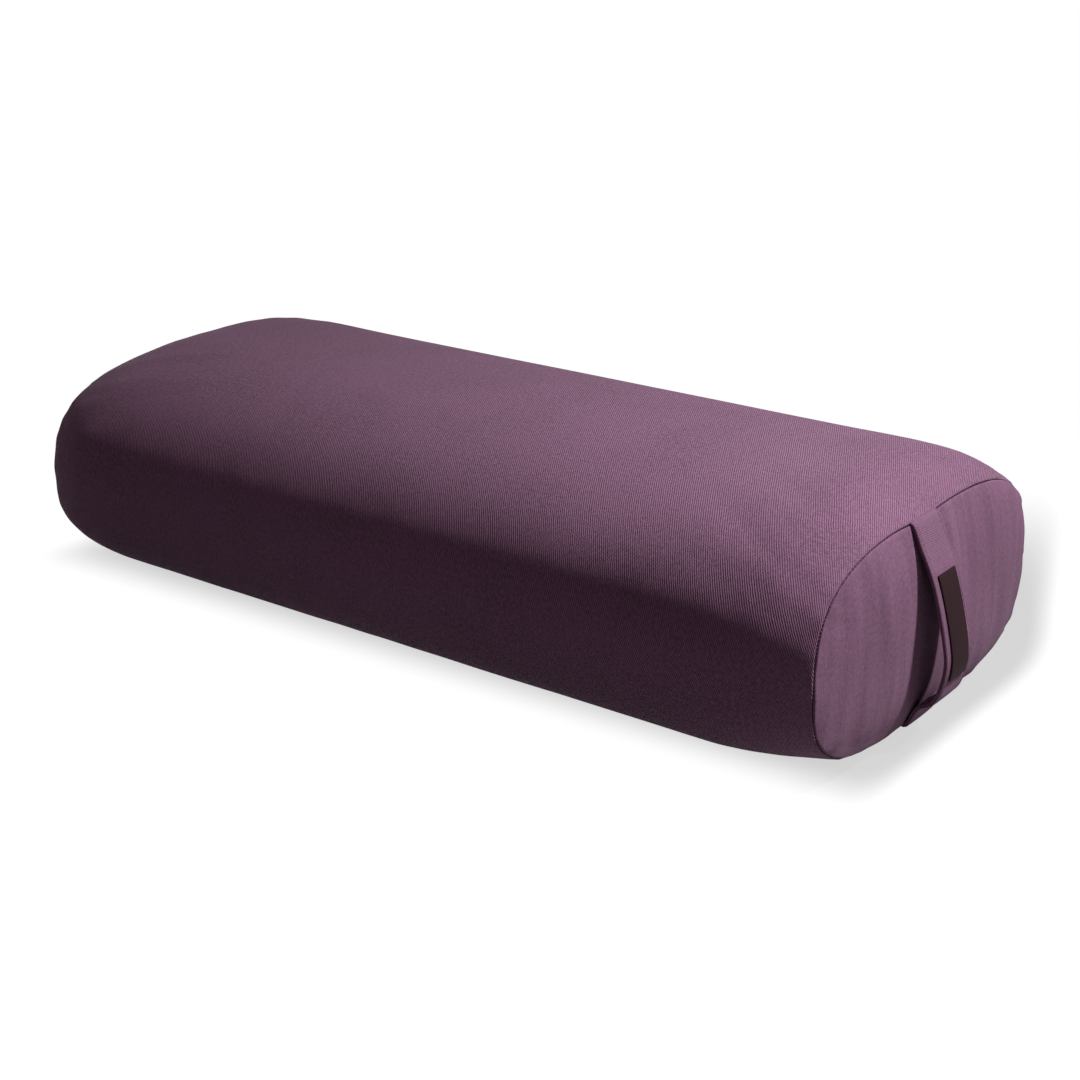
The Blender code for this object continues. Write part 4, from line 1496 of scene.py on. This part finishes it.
def floor_finish():
    """Matte floor, mixed with white for the camera, with a painted shadow and painted contact shade about the
    object, and clear from below.
    """
    material = bpy.data.materials.new("studio_floor")
    start = cleared(material)
    matte = start.node("ShaderNodeBsdfDiffuse", inputs={"Color": FLOOR_GREY})
    x, y, _ = object_place(start).parts()
    # How far a place lies outside each side of the painted shadow on the ground, in shares of that side's
    # softness
    edges = (
        (x * 0.026 - y - 0.1275) / 0.052,
        (x - 0.333) / 0.021,
        (x + y * 0.38 - 0.381) / 0.021,
        (-0.335 - x) / 0.04,
        (y - 0.41) / 0.22,
    )
    away = edges[0]
    for edge in edges[1:]:
        away = start.node("ShaderNodeMath", {"operation": "SMOOTH_MAX"}, {0: away, 1: edge, 2: 1.2})
    limits = {0: away, 1: -0.76, 2: 0.24, 3: 0.0, 4: 1.0}
    clear = start.node("ShaderNodeMapRange", {"clamp": True, "interpolation_type": "SMOOTHSTEP"}, limits)
    # Painted contact shade: the floor's glow darkened a little where the object closes off its sky
    open_sky = start.node("ShaderNodeAmbientOcclusion", {"samples": 16}, {"Distance": 0.03}, output=1)
    limits = {0: open_sky, 1: 0.0, 2: 0.2, 3: 0.94, 4: 1.0}
    painted_contact_shade = start.node("ShaderNodeMapRange", {"clamp": True}, limits)
    # Painted shadow and contact shade: the camera's white floor darkened about the object, down to its least
    # value
    painted_shadow = (FLOOR_PAINTED_SHADOW + clear * (1 - FLOOR_PAINTED_SHADOW)) * painted_contact_shade
    shade = start.node("ShaderNodeCombineColor", inputs={0: painted_shadow, 1: painted_shadow, 2: painted_shadow})
    glow = start.node("ShaderNodeEmission", inputs={"Color": shade, "Strength": FLOOR_GLOW})
    both = start.node("ShaderNodeMixShader", inputs={0: seen_directly(start) * 0.9, 1: matte, 2: glow})
    underneath = start.node("ShaderNodeNewGeometry", output="Backfacing")
    nothing = start.node("ShaderNodeBsdfTransparent")
    surface = start.node("ShaderNodeMixShader", inputs={0: underneath, 1: both, 2: nothing})
    start.node("ShaderNodeOutputMaterial", inputs={"Surface": surface})
    return material


def studio_world():
    """Soft even light, with white for what the camera sees directly."""
    world = bpy.data.worlds.new("studio")
    bpy.context.scene.world = world
    start = cleared(world)
    direct = seen_directly(start)
    strength = WORLD_STRENGTH + direct * (1 - WORLD_STRENGTH)
    tint = direct.between(WORLD_TINT, WHITE)
    glow = start.node("ShaderNodeBackground", inputs={"Color": tint, "Strength": strength})
    start.node("ShaderNodeOutputWorld", inputs={"Surface": glow})


class BOLSTER_OT_stage(bpy.types.Operator):
    """Sets the floor, the light, the world and the camera"""

    bl_idname = "bolster.stage"
    bl_label = "Stage"

    def execute(self, context):
        form = bmesh.new()
        bmesh.ops.create_grid(form, x_segments=1, y_segments=1, size=FLOOR_SIZE)
        bmesh.ops.translate(form, verts=form.verts, vec=(0, 0, FLOOR_Z))
        floor = shape_object("floor", form, floor_finish())
        studio_world()
        lamp = with_values(bpy.data.lights.new("key_light", "AREA"), shape="DISK", size=LAMP_SIZE)
        with_values(lamp, energy=LAMP_WATTS, spread=math.radians(LAMP_SPREAD))
        aimed("key_light", lamp, LAMP_PLACE, LAMP_TARGET)
        camera = bpy.data.cameras.new("camera")
        with_values(camera, lens=CAMERA_LENS_MM, sensor_width=36.0, clip_end=200.0)
        context.scene.camera = aimed("camera", camera, CAMERA_EYE, CAMERA_TARGET)
        context.scene.view_settings.view_transform = "Standard"
        return {"FINISHED"}


STEPS = ("cover", "strap", "zipper", "stitches", "filling", "stage")


class BOLSTER_PT_panel(bpy.types.Panel):
    """Lists the bolster's steps, sizes and colours"""

    bl_idname = "BOLSTER_PT_panel"
    bl_label = "Yoga bolster"
    bl_space_type = "VIEW_3D"
    bl_region_type = "UI"
    bl_category = "Bolster"

    def draw(self, context):
        for group in (context.scene.bolster_sizes, context.scene.bolster_colours):
            box = self.layout.box()
            for name in group.__annotations__:
                box.prop(group, name)
        for step in STEPS:
            self.layout.operator(f"bolster.{step}")


CLASSES = (
    BolsterSizes,
    BolsterColours,
    BOLSTER_OT_cover,
    BOLSTER_OT_strap,
    BOLSTER_OT_zipper,
    BOLSTER_OT_stitches,
    BOLSTER_OT_filling,
    BOLSTER_OT_stage,
    BOLSTER_PT_panel,
)


def register():
    for item in CLASSES:
        bpy.utils.register_class(item)
    bpy.types.Scene.bolster_sizes = PointerProperty(type=BolsterSizes)
    bpy.types.Scene.bolster_colours = PointerProperty(type=BolsterColours)


def unregister():
    del bpy.types.Scene.bolster_sizes
    del bpy.types.Scene.bolster_colours
    for item in reversed(CLASSES):
        bpy.utils.unregister_class(item)


def main():
    register()
    for step in STEPS:
        getattr(bpy.ops.bolster, step)()


if __name__ == "__main__":
    main()
